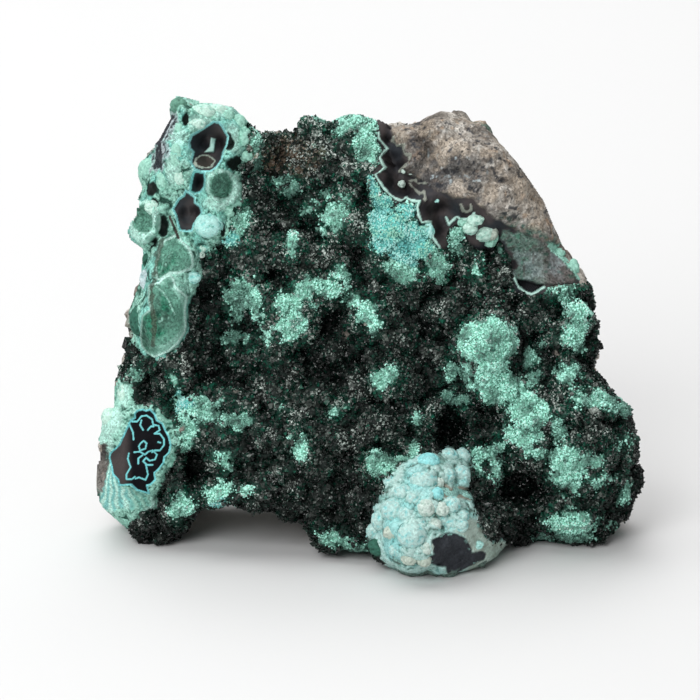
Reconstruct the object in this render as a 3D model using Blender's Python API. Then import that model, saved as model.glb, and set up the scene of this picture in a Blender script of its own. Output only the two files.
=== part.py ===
"""Malachite specimen: one natural stone that stands on its own three feet.

The stone is shaped in a face frame, in millimetres: x runs to the right across its crystal
face, v runs up along the face and w points out of it. The face leans back from upright, and
the last step stands the stone on its feet, cut flat where it rests, in metres with +Z up.
"""

import math

import bmesh
import bpy
import numpy as np

NODE_NAME = "malachite_specimen"
METRES_PER_MM = 0.001

# Driving dimensions, in millimetres
OUTLINE_WIDTH = 91.0
FRONT_SWELL = 8.0
BACK_SWELL = 29.0
ROUGHNESS_LARGE = 1.5
ROUGHNESS_LUMPS = 2.6

# The face leans back from upright by this angle.
FACE_LEAN = math.radians(18.0)

# Height of the middle of the face above the floor, and the shift that centres the footprint.
FACE_HEIGHT = 34.2
SHIFT_X = -0.9
SHIFT_Y = 0.0

# Exponents of the rounded-box profile from the face over the rim to the back.
FRONT_SQUARENESS = 3.0
BACK_SQUARENESS = 3.2

# Steps along the outline, how many of them each way smooth it, and how fast its own small
# steps fade away from the rim.
OUTLINE_STEPS = 720
SMOOTH_STEPS = 40
STEP_FADE = 4.0

# Edges along one side of the starting cube, and the share of its turn that covers the face.
CUBE_CUTS = 24
FACE_SHARE = 0.64

# Outline of the stone seen square on its face, clockwise from the top left: x, v and w.
DRAWN_WIDTH = 91.0
OUTLINE = (
    # knob and shells at the top left
    (-31.2, 39.5, 5.0),
    (-27.3, 38.5, 5.0),
    (-22.2, 37.7, 4.0),
    (-19.8, 35.5, 3.0),
    (-17.7, 33.5, 2.0),
    # crystal crust along the top
    (-14.3, 33.8, 2.0),
    (-11.0, 33.5, 2.0),
    (-10.3, 35.5, 2.0),
    (-7.7, 36.0, 2.0),
    (-2.5, 37.0, 2.0),
    (2.3, 35.7, 2.0),
    # brown matrix at the top right
    (5.3, 34.5, 2.0),
    (8.7, 35.2, 2.0),
    (12.0, 36.2, 1.0),
    (15.3, 36.2, 0.0),
    (19.8, 34.7, 0.0),
    (23.2, 30.8, 0.0),
    (26.2, 27.0, 0.0),
    (29.5, 22.3, 0.0),
    (31.0, 18.7, 0.0),
    # right side
    (33.3, 13.8, 0.0),
    (36.2, 9.3, 1.0),
    (37.8, 4.5, 1.0),
    (38.7, 1.8, 1.0),
    (38.8, -1.8, 1.0),
    (37.8, -4.7, 1.0),
    # right lobe, down to its foot
    (39.5, -8.2, 1.0),
    (43.3, -12.2, 0.0),
    (44.5, -17.3, 0.0),
    (45.5, -23.0, -1.0),
    (45.7, -24.8, -1.0),
    (44.3, -28.5, -2.0),
    (43.5, -30.8, -3.0),
    (40.7, -33.3, -4.0),
    (36.5, -34.6, -4.5),
    (31.7, -35.2, -4.5),
    (26.0, -35.2, -2.0),
    (23.5, -34.8, 1.0),
    # pale lobe, which is the front foot
    (21.7, -36.7, 5.0),
    (18.7, -38.2, 8.0),
    (13.5, -39.6, 9.5),
    (9.8, -39.6, 9.5),
    (5.7, -39.2, 9.0),
    (2.3, -37.2, 6.0),
    (0.5, -35.0, 4.0),
    # lower edge of the crystal face, over the hollow between the feet
    (-2.5, -35.8, 3.0),
    (-5.8, -35.8, 3.0),
    (-8.3, -34.2, 3.0),
    (-10.2, -31.0, 3.0),
    (-12.2, -30.8, 3.0),
    (-14.7, -28.8, 3.0),
    (-18.8, -28.7, 3.0),
    (-21.8, -27.8, 2.0),
    (-26.7, -28.2, 1.0),
    (-28.3, -28.5, 0.0),
    # left foot
    (-29.3, -30.8, -2.0),
    (-30.8, -33.4, -4.0),
    (-33.7, -35.6, -5.0),
    (-36.7, -35.4, -5.0),
    (-40.0, -32.2, -4.0),
    (-43.7, -28.8, -3.0),
    (-45.3, -26.0, -2.0),
    (-44.8, -21.2, -1.0),
    (-45.0, -19.2, -1.0),
    (-43.8, -16.3, 0.0),
    (-43.5, -13.3, 0.0),
    (-41.5, -12.2, 0.0),
    (-41.5, -7.7, 0.0),
    # shells up the left margin
    (-39.5, -4.7, 1.0),
    (-38.2, 0.0, 1.0),
    (-39.0, 1.8, 1.0),
    (-39.2, 3.8, 1.0),
    (-37.2, 9.0, 1.0),
    (-36.7, 14.5, 1.0),
    (-39.2, 16.3, 2.0),
    (-39.5, 18.3, 2.0),
    (-37.8, 22.3, 2.0),
    (-36.8, 24.5, 3.0),
    (-37.5, 26.5, 3.0),
    (-36.7, 29.0, 3.0),
    (-33.8, 32.5, 4.0),
    (-31.8, 36.2, 5.0),
    (-32.2, 37.7, 5.0),
)

# Soft swellings and hollows of the face: x, v, half width, half height and rise.
SWELLS = {
    "left margin, upper": (-30.0, 28.0, 10.0, 14.0, 4.0),
    "left margin, lower": (-34.5, 6.0, 8.0, 14.0, 3.5),
    "upper basin": (-13.0, 24.0, 12.0, 13.0, -5.5),
    "left basin": (-23.0, 0.0, 9.0, 18.0, -4.5),
    "middle basin": (-2.0, -4.0, 16.0, 14.0, -2.0),
    "lower crust": (-8.0, -20.0, 17.0, 14.0, 2.5),
    "blue patch": (6.8, 16.0, 11.0, 9.0, 3.0),
    "matrix": (20.0, 26.0, 16.0, 13.0, 4.5),
    "shelf under the matrix": (29.0, 12.0, 9.0, 5.0, -2.0),
    "right dome": (20.0, -1.5, 9.5, 9.0, 5.5),
    "right lobe": (34.0, -19.0, 15.0, 17.0, 5.0),
    "left foot": (-37.5, -21.0, 9.0, 12.0, 3.0),
    "pale lobe": (11.0, -29.5, 14.0, 15.0, 3.5),
}

# Round knobs with a steep foot: x, v, half width, half height and rise.
KNOBS = {
    "pale lobe top": (10.5, -28.5, 9.2, 9.8, 3.8),
    "pale lobe lower left": (7.0, -34.0, 4.5, 4.0, 1.5),
    "pale lobe lower right": (17.5, -33.5, 4.5, 4.0, 1.5),
    "pale ball, middle": (10.0, -28.3, 1.9, 1.9, 1.3),
    "pale ball, left": (7.0, -27.0, 1.8, 1.8, 1.1),
    "pale ball, right": (13.6, -28.8, 2.0, 2.0, 1.3),
    "pale ball, under the middle": (11.2, -31.6, 1.8, 1.8, 1.2),
    "pale ball, far right": (16.4, -29.8, 1.9, 1.9, 1.2),
    "pale ball, low left": (7.4, -32.4, 2.2, 2.2, 1.3),
    "pale ball, foot left": (6.4, -36.0, 2.0, 1.8, 1.1),
    "pale ball, foot middle": (10.4, -36.2, 2.0, 1.8, 1.1),
    "blue disc, top": (10.6, -21.2, 2.6, 1.9, 1.0),
    "blue disc, side": (4.2, -31.4, 1.8, 1.6, 0.9),
    "druse ball beside the lobe": (21.3, -31.2, 3.4, 3.4, 2.5),
    "druse ball under the edge": (2.2, -35.5, 3.0, 3.0, 2.0),
    "green mound, left": (-20.0, 6.5, 4.5, 4.5, 1.8),
    "green mound, centre left": (-12.3, 2.5, 5.0, 5.0, 2.0),
    "green mound, centre": (-7.5, 7.8, 4.5, 3.0, 1.6),
    "green mound, high": (-4.6, 20.3, 3.6, 5.0, 2.0),
    "green mound, upper left": (-12.3, 15.3, 2.6, 2.6, 1.3),
    "green mound, middle": (0.7, 2.7, 3.6, 4.2, 1.5),
    "green mound, low": (3.7, -7.5, 3.5, 4.0, 1.6),
    "green mound, lowest": (-10.8, -18.7, 2.6, 3.4, 1.2),
    "pale ball": (2.3, -21.3, 2.6, 2.6, 1.8),
    "pale dome under the matrix": (19.3, 17.3, 2.8, 2.8, 1.6),
    "right dome cap": (20.0, -1.3, 5.6, 5.0, 1.8),
    "knob under the dome": (21.0, -8.6, 4.2, 4.2, 2.0),
    "lobe knob, upper": (27.0, -11.5, 5.0, 4.8, 2.4),
    "lobe knob, middle": (26.3, -17.0, 5.0, 4.4, 2.0),
    "lobe knob, outer": (36.5, -19.5, 5.4, 5.6, 1.8),
    "lobe knob, top": (36.0, -10.5, 5.0, 4.4, 1.8),
    "lobe knob, foot": (35.0, -31.0, 6.0, 4.0, 1.8),
    "ledge on the right side": (36.0, 4.6, 2.8, 3.4, 1.6),
    "small dome, left edge": (-37.6, 18.0, 2.0, 3.2, 1.8),
    "small dome, lower left edge": (-37.8, 2.7, 2.0, 3.0, 1.4),
    "grey dome in its cup": (-24.4, 24.8, 1.8, 1.8, 2.6),
    "blue knob": (-25.7, 18.0, 2.6, 2.6, 1.8),
    "top knob": (-30.0, 37.0, 2.6, 2.2, 1.4),
}

# Flat-topped shells with a sharp rim: x, v, half width, half height and rise.
SHELLS = {
    "upper shell": (-31.3, 13.6, 3.8, 3.8, 1.6),
    "long shell": (-33.4, 3.4, 4.6, 7.6, 1.9),
    "low shell": (-23.4, -25.6, 4.2, 2.0, 1.6),
    "blue skirt of the left foot": (-24.5, -11.5, 7.5, 3.2, 1.2),
}

# Steep-sided hollows: x, v, half width, half height and depth.
HOLLOWS = {
    "upper cast": (-26.0, 31.2, 3.8, 4.3, 3.2),
    "middle cast": (-27.6, 25.5, 1.9, 2.1, 2.2),
    "lower cast": (-29.2, 20.6, 2.4, 3.3, 2.6),
    "hollow in the left edge": (-33.3, 18.3, 1.7, 2.6, 1.8),
    "hollow by the left foot": (-28.3, -22.5, 2.6, 4.4, 3.6),
    "broken section of the left foot": (-37.5, -20.0, 5.0, 7.0, 1.2),
    "cast band, upper": (4.8, 30.0, 2.6, 4.6, 2.6),
    "cast band, middle": (6.6, 25.0, 3.4, 3.4, 2.6),
    "cast band, lower": (13.2, 19.8, 3.6, 3.8, 2.6),
    "pocket under the shelf": (27.5, 8.2, 2.8, 1.5, 1.6),
    "hollow in the right side": (32.5, 3.9, 2.6, 2.2, 3.0),
    "deep hollow beside the lobe": (14.2, -16.2, 3.8, 5.2, 6.0),
    "hollow under the right lobe": (26.5, -25.8, 5.2, 3.8, 4.6),
}

# Broken faces of the back: the direction that each faces, in x, v and w, and its distance.
BACK_BREAKS = (
    ((-0.48, 0.10, -0.87), 28.0),
    ((0.55, 0.20, -0.81), 30.0),
    ((0.08, 0.50, -0.86), 27.5),
    ((0.10, -0.22, -0.97), 29.0),
)

# Hollow between the left foot and the front foot: its middle and half width along x, how far
# it lifts the underside, and where it starts behind the rim and below the middle.
ARCH_MIDDLE = -20.0
ARCH_HALF_WIDTH = 10.5
ARCH_LIFT = 3.5
ARCH_FRONT = 1.0
ARCH_TOP = -14.0

# Size of the wide unevenness and of the crust's lumps, in millimetres.
UNEVEN_SIZE = 13.0
LUMP_SIZE = 5.2
LUMP_REACH = 0.8

# Zones that get a second cut, for their small forms: x, v, half width and half height.
FINE_ZONES = (
    (-28.5, 24.0, 9.5, 15.0),
    (10.8, -29.0, 10.5, 10.5),
    (-34.0, 4.0, 6.0, 9.0),
)

# Corners of the cut closer to each other than this are merged, in metres.
CLOSEST_CORNERS = 0.00002


def clear_scene():
    """Removes the objects of the scene that the script starts in."""
    for obj in list(bpy.data.objects):
        bpy.data.objects.remove(obj, do_unlink=True)


def cell_value(cells, seed):
    """A repeatable value from 0 to 1 for each whole-numbered cell of space."""
    x, y, z = (cells[..., axis].astype(np.int64).astype(np.uint32) for axis in range(3))
    mixed = x * np.uint32(374761393) + y * np.uint32(668265263) + z * np.uint32(2246822519)
    mixed = mixed + np.full_like(mixed, seed) * np.uint32(3266489917)
    mixed = (mixed ^ (mixed >> np.uint32(13))) * np.uint32(1274126177)
    mixed = mixed ^ (mixed >> np.uint32(16))
    return (mixed & np.uint32(0xFFFF)) / 65535.0


def smooth_noise(points, size, seed):
    """Noise from -1 to 1: the values of the eight nearest cell corners, blended smoothly."""
    scaled = points / size
    corner = np.floor(scaled)
    part = scaled - corner
    blend = part * part * (3.0 - 2.0 * part)
    total = np.zeros(len(points))
    for step in np.ndindex(2, 2, 2):
        weight = np.prod(np.where(np.array(step) == 1, blend, 1.0 - blend), axis=1)
        total += weight * cell_value(corner + np.array(step), seed)
    return 2.0 * total - 1.0


def lump_height(points, size, seed):
    """Lumps from 0 to 1: a round dome over one scattered middle in each cell of space."""
    corner = np.floor(points / size)
    nearest = np.full(len(points), np.inf)
    for step in np.ndindex(3, 3, 3):
        cell = corner + np.array(step) - 1.0
        jitter = np.stack([cell_value(cell, seed + axis) for axis in range(3)], axis=1)
        middle = (cell + jitter) * size
        nearest = np.minimum(nearest, np.linalg.norm(points - middle, axis=1))
    return np.sqrt(np.clip(1.0 - (nearest / (LUMP_REACH * size)) ** 2, 0.0, 1.0))


def oval_distance(x, v, spot):
    """Distance from the middle of an oval spot, where 1 is its edge."""
    middle_x, middle_v, half_width, half_height = spot[:4]
    return np.hypot((x - middle_x) / half_width, (v - middle_v) / half_height)


def swell(distance):
    """A soft hill: one minus the squared distance, squared again."""
    return np.clip(1.0 - distance**2, 0.0, 1.0) ** 2


def knob(distance):
    """A round dome with a steep foot: the height of half a ball."""
    return np.sqrt(np.clip(1.0 - distance**2, 0.0, 1.0))


def plateau(distance, rim=0.3):
    """A flat top that falls off smoothly over the last part of its radius."""
    fall = np.clip((1.0 - distance) / rim, 0.0, 1.0)
    return fall * fall * (3.0 - 2.0 * fall)


def face_relief(x, v):
    """Height of the hand-placed forms of the face, added up at each point."""
    height = np.zeros_like(x)
    for spot in SWELLS.values():
        height += spot[4] * swell(oval_distance(x, v, spot))
    for spot in KNOBS.values():
        height += spot[4] * knob(oval_distance(x, v, spot))
    for spot in SHELLS.values():
        height += spot[4] * plateau(oval_distance(x, v, spot))
    for spot in HOLLOWS.values():
        height -= spot[4] * plateau(oval_distance(x, v, spot), rim=0.6)
    return height


def arch_lift(x, v, w):
    """How far the underside is lifted between the feet, fading to nothing at its borders."""
    across = plateau(np.abs(x - ARCH_MIDDLE) / ARCH_HALF_WIDTH, rim=0.4)
    behind = np.clip((ARCH_FRONT - w) / 5.0, 0.0, 1.0)
    below = np.clip((ARCH_TOP - v) / 8.0, 0.0, 1.0)
    return ARCH_LIFT * across * behind * below


def outline_at(angle):
    """The outline and its smoothed course in each direction, as points x, v and w.

    The outline is read clockwise at even steps of its length. Its smoothed course is the
    average over a stretch of it, so that its small steps fade away from the rim.
    """
    corners = np.array(OUTLINE + OUTLINE[:1]) * (OUTLINE_WIDTH / DRAWN_WIDTH)
    steps = np.linalg.norm(np.diff(corners[:, :2], axis=0), axis=1)
    along = np.concatenate([[0.0], np.cumsum(steps)]) / steps.sum()
    place = np.arange(OUTLINE_STEPS) / OUTLINE_STEPS
    course = np.stack([np.interp(place, along, corners[:, axis]) for axis in range(3)], axis=1)
    stretch = range(-SMOOTH_STEPS, SMOOTH_STEPS + 1)
    smooth = np.mean([np.roll(course, step, axis=0) for step in stretch], axis=0)
    start = math.atan2(corners[0, 1], corners[0, 0])
    turned = ((start - angle) / (2.0 * math.pi)) % 1.0
    rims = []
    for curve in (course, smooth):
        rims.append([np.interp(turned, place, curve[:, axis], period=1.0) for axis in range(3)])
    return np.array(rims[0]), np.array(rims[1])


def profile(turn, squareness, swell_height):
    """A quarter of a rounded box: its reach outwards and its height, at even steps along it.

    The reach to the power of the squareness and the height to the same power add up to 1.
    """
    typical_radius = 0.45 * OUTLINE_WIDTH
    quarter = np.linspace(0.0, 0.5 * math.pi, 400)
    reach = np.sin(quarter) ** (2.0 / squareness)
    height = np.cos(quarter) ** (2.0 / squareness)
    steps = np.hypot(np.diff(reach * typical_radius), np.diff(height * swell_height))
    along = np.concatenate([[0.0], np.cumsum(steps)])
    along = along / along[-1]
    return np.interp(turn, along, reach), np.interp(turn, along, height)


def stone_points(directions):
    """The skin of the stone, one point for each direction from its middle, in the face frame.

    The turn from the face's middle to the back's middle runs along a rounded-box profile,
    stretched to the outline. The rim's depth fades towards the middle, the hand-placed forms
    are added to the face, broken faces cut the back, and noise roughens the whole.
    """
    angle = np.arctan2(directions[:, 1], directions[:, 0])
    turn = np.arccos(np.clip(directions[:, 2], -1.0, 1.0)) / math.pi
    front = turn <= FACE_SHARE
    outline, smooth = outline_at(angle)
    front_turn = np.clip(turn / FACE_SHARE, 0.0, 1.0)
    back_turn = np.clip((1.0 - turn) / (1.0 - FACE_SHARE), 0.0, 1.0)
    front_reach, front_height = profile(front_turn, FRONT_SQUARENESS, FRONT_SWELL)
    back_reach, back_height = profile(back_turn, BACK_SQUARENESS, BACK_SWELL)
    reach = np.where(front, front_reach, back_reach)
    height = np.where(front, front_height, back_height)
    squareness = np.where(front, FRONT_SQUARENESS, BACK_SQUARENESS)
    depth = np.where(front, FRONT_SWELL, BACK_SWELL)
    side = np.where(front, 1.0, -1.0)
    rim = smooth + (outline - smooth) * reach**STEP_FADE

    x = reach * rim[0]
    v = reach * rim[1]
    w = rim[2] * reach**2 + side * depth * height
    w = w + np.where(front, face_relief(x, v) * np.clip(3.0 * height, 0.0, 1.0), 0.0)
    points = np.stack([x, v + arch_lift(x, v, w), w], axis=1)

    radius = np.hypot(smooth[0], smooth[1])
    outward = reach ** (squareness - 1.0) / radius**2
    across = side * height ** (squareness - 1.0) / depth
    normal = np.stack([outward * smooth[0], outward * smooth[1], across], axis=1)
    normal /= np.linalg.norm(normal, axis=1, keepdims=True)

    back = np.clip(-side * 2.0 * height, 0.0, 1.0)
    for facing, distance in BACK_BREAKS:
        beyond = np.clip(points @ np.array(facing) - distance, 0.0, None)
        points = points - (beyond * back)[:, None] * np.array(facing)

    lumps = np.where(front, ROUGHNESS_LUMPS, 0.5 * ROUGHNESS_LUMPS)
    rough = ROUGHNESS_LARGE * smooth_noise(points, UNEVEN_SIZE, seed=11)
    rough += lumps * (lump_height(points, LUMP_SIZE, seed=23) - 0.7)
    return points + rough[:, None] * normal


def stand_up(points):
    """Leans the face back and moves the stone over the origin, from millimetres to metres."""
    x, v, w = points.T
    upright = np.stack(
        [
            x + SHIFT_X,
            v * math.sin(FACE_LEAN) - w * math.cos(FACE_LEAN) + SHIFT_Y,
            v * math.cos(FACE_LEAN) + w * math.sin(FACE_LEAN) + FACE_HEIGHT,
        ],
        axis=1,
    )
    return upright * METRES_PER_MM


def directions_of(mesh):
    """Unit direction of every corner of the mesh from its middle."""
    corners = np.array([vert.co[:] for vert in mesh.verts])
    return corners / np.linalg.norm(corners, axis=1, keepdims=True)


def cut_fine_zones(mesh):
    """Cuts the edges once more where the face has small forms."""
    points = stone_points(directions_of(mesh))
    fine = np.zeros(len(points), dtype=bool)
    for zone in FINE_ZONES:
        fine |= (oval_distance(points[:, 0], points[:, 1], zone) < 1.0) & (points[:, 2] > 0.0)
    mesh.verts.index_update()
    edges = [edge for edge in mesh.edges if all(fine[vert.index] for vert in edge.verts)]
    bmesh.ops.subdivide_edges(mesh, edges=edges, cuts=1, use_grid_fill=True)
    bmesh.ops.triangulate(mesh, faces=mesh.faces[:])


def cut_feet_flat(mesh):
    """Cuts the stone off at the floor and closes each foot with a flat face."""
    everything = mesh.verts[:] + mesh.edges[:] + mesh.faces[:]
    bmesh.ops.bisect_plane(
        mesh, geom=everything, plane_co=(0.0, 0.0, 0.0), plane_no=(0.0, 0.0, 1.0), clear_inner=True
    )
    rim_corners = [vert for vert in mesh.verts if vert.is_boundary]
    bmesh.ops.remove_doubles(mesh, verts=rim_corners, dist=CLOSEST_CORNERS)
    rim = [edge for edge in mesh.edges if edge.is_boundary]
    bmesh.ops.holes_fill(mesh, edges=rim, sides=0)
    bmesh.ops.triangulate(mesh, faces=[face for face in mesh.faces if len(face.verts) > 3])


def build_mesh():
    """Shapes a subdivided cube into the stone and returns it as a mesh."""
    mesh = bmesh.new()
    bmesh.ops.create_cube(mesh, size=2.0)
    bmesh.ops.subdivide_edges(mesh, edges=mesh.edges[:], cuts=CUBE_CUTS, use_grid_fill=True)
    cut_fine_zones(mesh)
    places = stand_up(stone_points(directions_of(mesh)))
    for vert, place in zip(mesh.verts, places):
        vert.co = place
    cut_feet_flat(mesh)
    bmesh.ops.recalc_face_normals(mesh, faces=mesh.faces[:])
    data = bpy.data.meshes.new(NODE_NAME)
    mesh.to_mesh(data)
    mesh.free()
    return data


def malachite_material():
    """Dark green crystal crust, slightly shiny."""
    material = bpy.data.materials.new("malachite_druse")
    material.use_nodes = True
    shader = material.node_tree.nodes["Principled BSDF"]
    shader.inputs["Base Color"].default_value = (0.045, 0.16, 0.12, 1.0)
    shader.inputs["Roughness"].default_value = 0.45
    shader.inputs["Metallic"].default_value = 0.0
    return material


def main():
    """Builds the stone."""
    clear_scene()
    data = build_mesh()
    data.materials.append(malachite_material())
    stone = bpy.data.objects.new(NODE_NAME, data)
    bpy.context.scene.collection.objects.link(stone)


if __name__ == "__main__":
    main()
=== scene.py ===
"""The looks of a malachite specimen: crystal crust, mint and blue growths, shells and matrix.

Everything is shaped in the stone's face frame, in millimetres: x runs to the right across the
crystal face, v up along it and w out of it. stand_up() leans the face back and sets the stone
on the floor in metres, as the solid stands.
"""

import math

import bpy
import numpy as np
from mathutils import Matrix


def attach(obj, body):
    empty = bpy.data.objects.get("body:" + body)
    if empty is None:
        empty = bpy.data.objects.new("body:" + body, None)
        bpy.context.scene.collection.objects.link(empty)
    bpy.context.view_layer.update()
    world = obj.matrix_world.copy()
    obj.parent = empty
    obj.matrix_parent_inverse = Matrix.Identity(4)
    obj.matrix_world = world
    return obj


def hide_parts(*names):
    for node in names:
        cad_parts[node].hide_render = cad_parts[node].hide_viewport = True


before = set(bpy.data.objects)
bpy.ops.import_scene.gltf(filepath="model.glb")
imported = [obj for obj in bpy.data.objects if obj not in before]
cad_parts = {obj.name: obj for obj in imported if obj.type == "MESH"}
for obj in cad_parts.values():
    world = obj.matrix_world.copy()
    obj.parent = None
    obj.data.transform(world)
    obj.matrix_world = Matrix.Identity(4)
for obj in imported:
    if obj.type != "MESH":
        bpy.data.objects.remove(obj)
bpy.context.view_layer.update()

bl_info = {
    "name": "Malachite specimen",
    "version": (1, 0, 0),
    "blender": (4, 5, 0),
    "location": "3D View > Sidebar > Malachite",
    "description": "Builds a malachite specimen with its crystal crust, growths and matrix",
    "category": "Add Mesh",
}

NODE_NAME = "malachite_specimen"
BODY_NAME = "root"
METRES_PER_MM = 0.001

# The stone's form, as its solid has it, in millimetres
OUTLINE_WIDTH = 91.0
DRAWN_WIDTH = 91.0
FRONT_SWELL = 8.0
BACK_SWELL = 29.0
ROUGHNESS_LARGE = 1.5
ROUGHNESS_LUMPS = 2.6
FACE_LEAN = math.radians(18.0)
FACE_HEIGHT = 34.2
SHIFT_X = -0.9
SHIFT_Y = 0.0
FRONT_SQUARENESS = 3.0
BACK_SQUARENESS = 3.2
OUTLINE_STEPS = 720
SMOOTH_STEPS = 40
STEP_FADE = 4.0
FACE_SHARE = 0.64
UNEVEN_SIZE = 13.0
LUMP_SIZE = 5.2
LUMP_REACH = 0.8
ARCH_MIDDLE = -20.0
ARCH_HALF_WIDTH = 10.5
ARCH_LIFT = 3.5
ARCH_FRONT = 1.0
ARCH_TOP = -14.0

# Outline of the stone seen square on its face, clockwise from the top left: x, v and w.
OUTLINE = (
    # knob and shells at the top left
    (-31.2, 39.5, 5.0),
    (-27.3, 38.5, 5.0),
    (-22.2, 37.7, 4.0),
    (-19.8, 35.5, 3.0),
    (-17.7, 33.5, 2.0),
    # crystal crust along the top
    (-14.3, 33.8, 2.0),
    (-11.0, 33.5, 2.0),
    (-10.3, 35.5, 2.0),
    (-7.7, 36.0, 2.0),
    (-2.5, 37.0, 2.0),
    (2.3, 35.7, 2.0),
    # brown matrix at the top right
    (5.3, 34.5, 2.0),
    (8.7, 35.2, 2.0),
    (12.0, 36.2, 1.0),
    (15.3, 36.2, 0.0),
    (19.8, 34.7, 0.0),
    (23.2, 30.8, 0.0),
    (26.2, 27.0, 0.0),
    (29.5, 22.3, 0.0),
    (31.0, 18.7, 0.0),
    # right side
    (33.3, 13.8, 0.0),
    (36.2, 9.3, 1.0),
    (37.8, 4.5, 1.0),
    (38.7, 1.8, 1.0),
    (38.8, -1.8, 1.0),
    (37.8, -4.7, 1.0),
    # right lobe, down to its foot
    (39.5, -8.2, 1.0),
    (43.3, -12.2, 0.0),
    (44.5, -17.3, 0.0),
    (45.5, -23.0, -1.0),
    (45.7, -24.8, -1.0),
    (44.3, -28.5, -2.0),
    (43.5, -30.8, -3.0),
    (40.7, -33.3, -4.0),
    (36.5, -34.6, -4.5),
    (31.7, -35.2, -4.5),
    (26.0, -35.2, -2.0),
    (23.5, -34.8, 1.0),
    # pale lobe, which is the front foot
    (21.7, -36.7, 5.0),
    (18.7, -38.2, 8.0),
    (13.5, -39.6, 9.5),
    (9.8, -39.6, 9.5),
    (5.7, -39.2, 9.0),
    (2.3, -37.2, 6.0),
    (0.5, -35.0, 4.0),
    # lower edge of the crystal face, over the hollow between the feet
    (-2.5, -35.8, 3.0),
    (-5.8, -35.8, 3.0),
    (-8.3, -34.2, 3.0),
    (-10.2, -31.0, 3.0),
    (-12.2, -30.8, 3.0),
    (-14.7, -28.8, 3.0),
    (-18.8, -28.7, 3.0),
    (-21.8, -27.8, 2.0),
    (-26.7, -28.2, 1.0),
    (-28.3, -28.5, 0.0),
    # left foot
    (-29.3, -30.8, -2.0),
    (-30.8, -33.4, -4.0),
    (-33.7, -35.6, -5.0),
    (-36.7, -35.4, -5.0),
    (-40.0, -32.2, -4.0),
    (-43.7, -28.8, -3.0),
    (-45.3, -26.0, -2.0),
    (-44.8, -21.2, -1.0),
    (-45.0, -19.2, -1.0),
    (-43.8, -16.3, 0.0),
    (-43.5, -13.3, 0.0),
    (-41.5, -12.2, 0.0),
    (-41.5, -7.7, 0.0),
    # shells up the left margin
    (-39.5, -4.7, 1.0),
    (-38.2, 0.0, 1.0),
    (-39.0, 1.8, 1.0),
    (-39.2, 3.8, 1.0),
    (-37.2, 9.0, 1.0),
    (-36.7, 14.5, 1.0),
    (-39.2, 16.3, 2.0),
    (-39.5, 18.3, 2.0),
    (-37.8, 22.3, 2.0),
    (-36.8, 24.5, 3.0),
    (-37.5, 26.5, 3.0),
    (-36.7, 29.0, 3.0),
    (-33.8, 32.5, 4.0),
    (-31.8, 36.2, 5.0),
    (-32.2, 37.7, 5.0),
)

# Soft swellings and hollows of the face: x, v, half width, half height and rise.
SWELLS = {
    "left margin, upper": (-30.0, 28.0, 10.0, 14.0, 4.0),
    "left margin, lower": (-34.5, 6.0, 8.0, 14.0, 3.5),
    "upper basin": (-13.0, 24.0, 12.0, 13.0, -5.5),
    "left basin": (-23.0, 0.0, 9.0, 18.0, -4.5),
    "middle basin": (-2.0, -4.0, 16.0, 14.0, -2.0),
    "lower crust": (-8.0, -20.0, 17.0, 14.0, 2.5),
    "blue patch": (6.8, 16.0, 11.0, 9.0, 3.0),
    "matrix": (20.0, 26.0, 16.0, 13.0, 4.5),
    "shelf under the matrix": (29.0, 12.0, 9.0, 5.0, -2.0),
    "right dome": (20.0, -1.5, 9.5, 9.0, 5.5),
    "right lobe": (34.0, -19.0, 15.0, 17.0, 5.0),
    "left foot": (-37.5, -21.0, 9.0, 12.0, 3.0),
    "pale lobe": (11.0, -29.5, 14.0, 15.0, 3.5),
}

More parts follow.
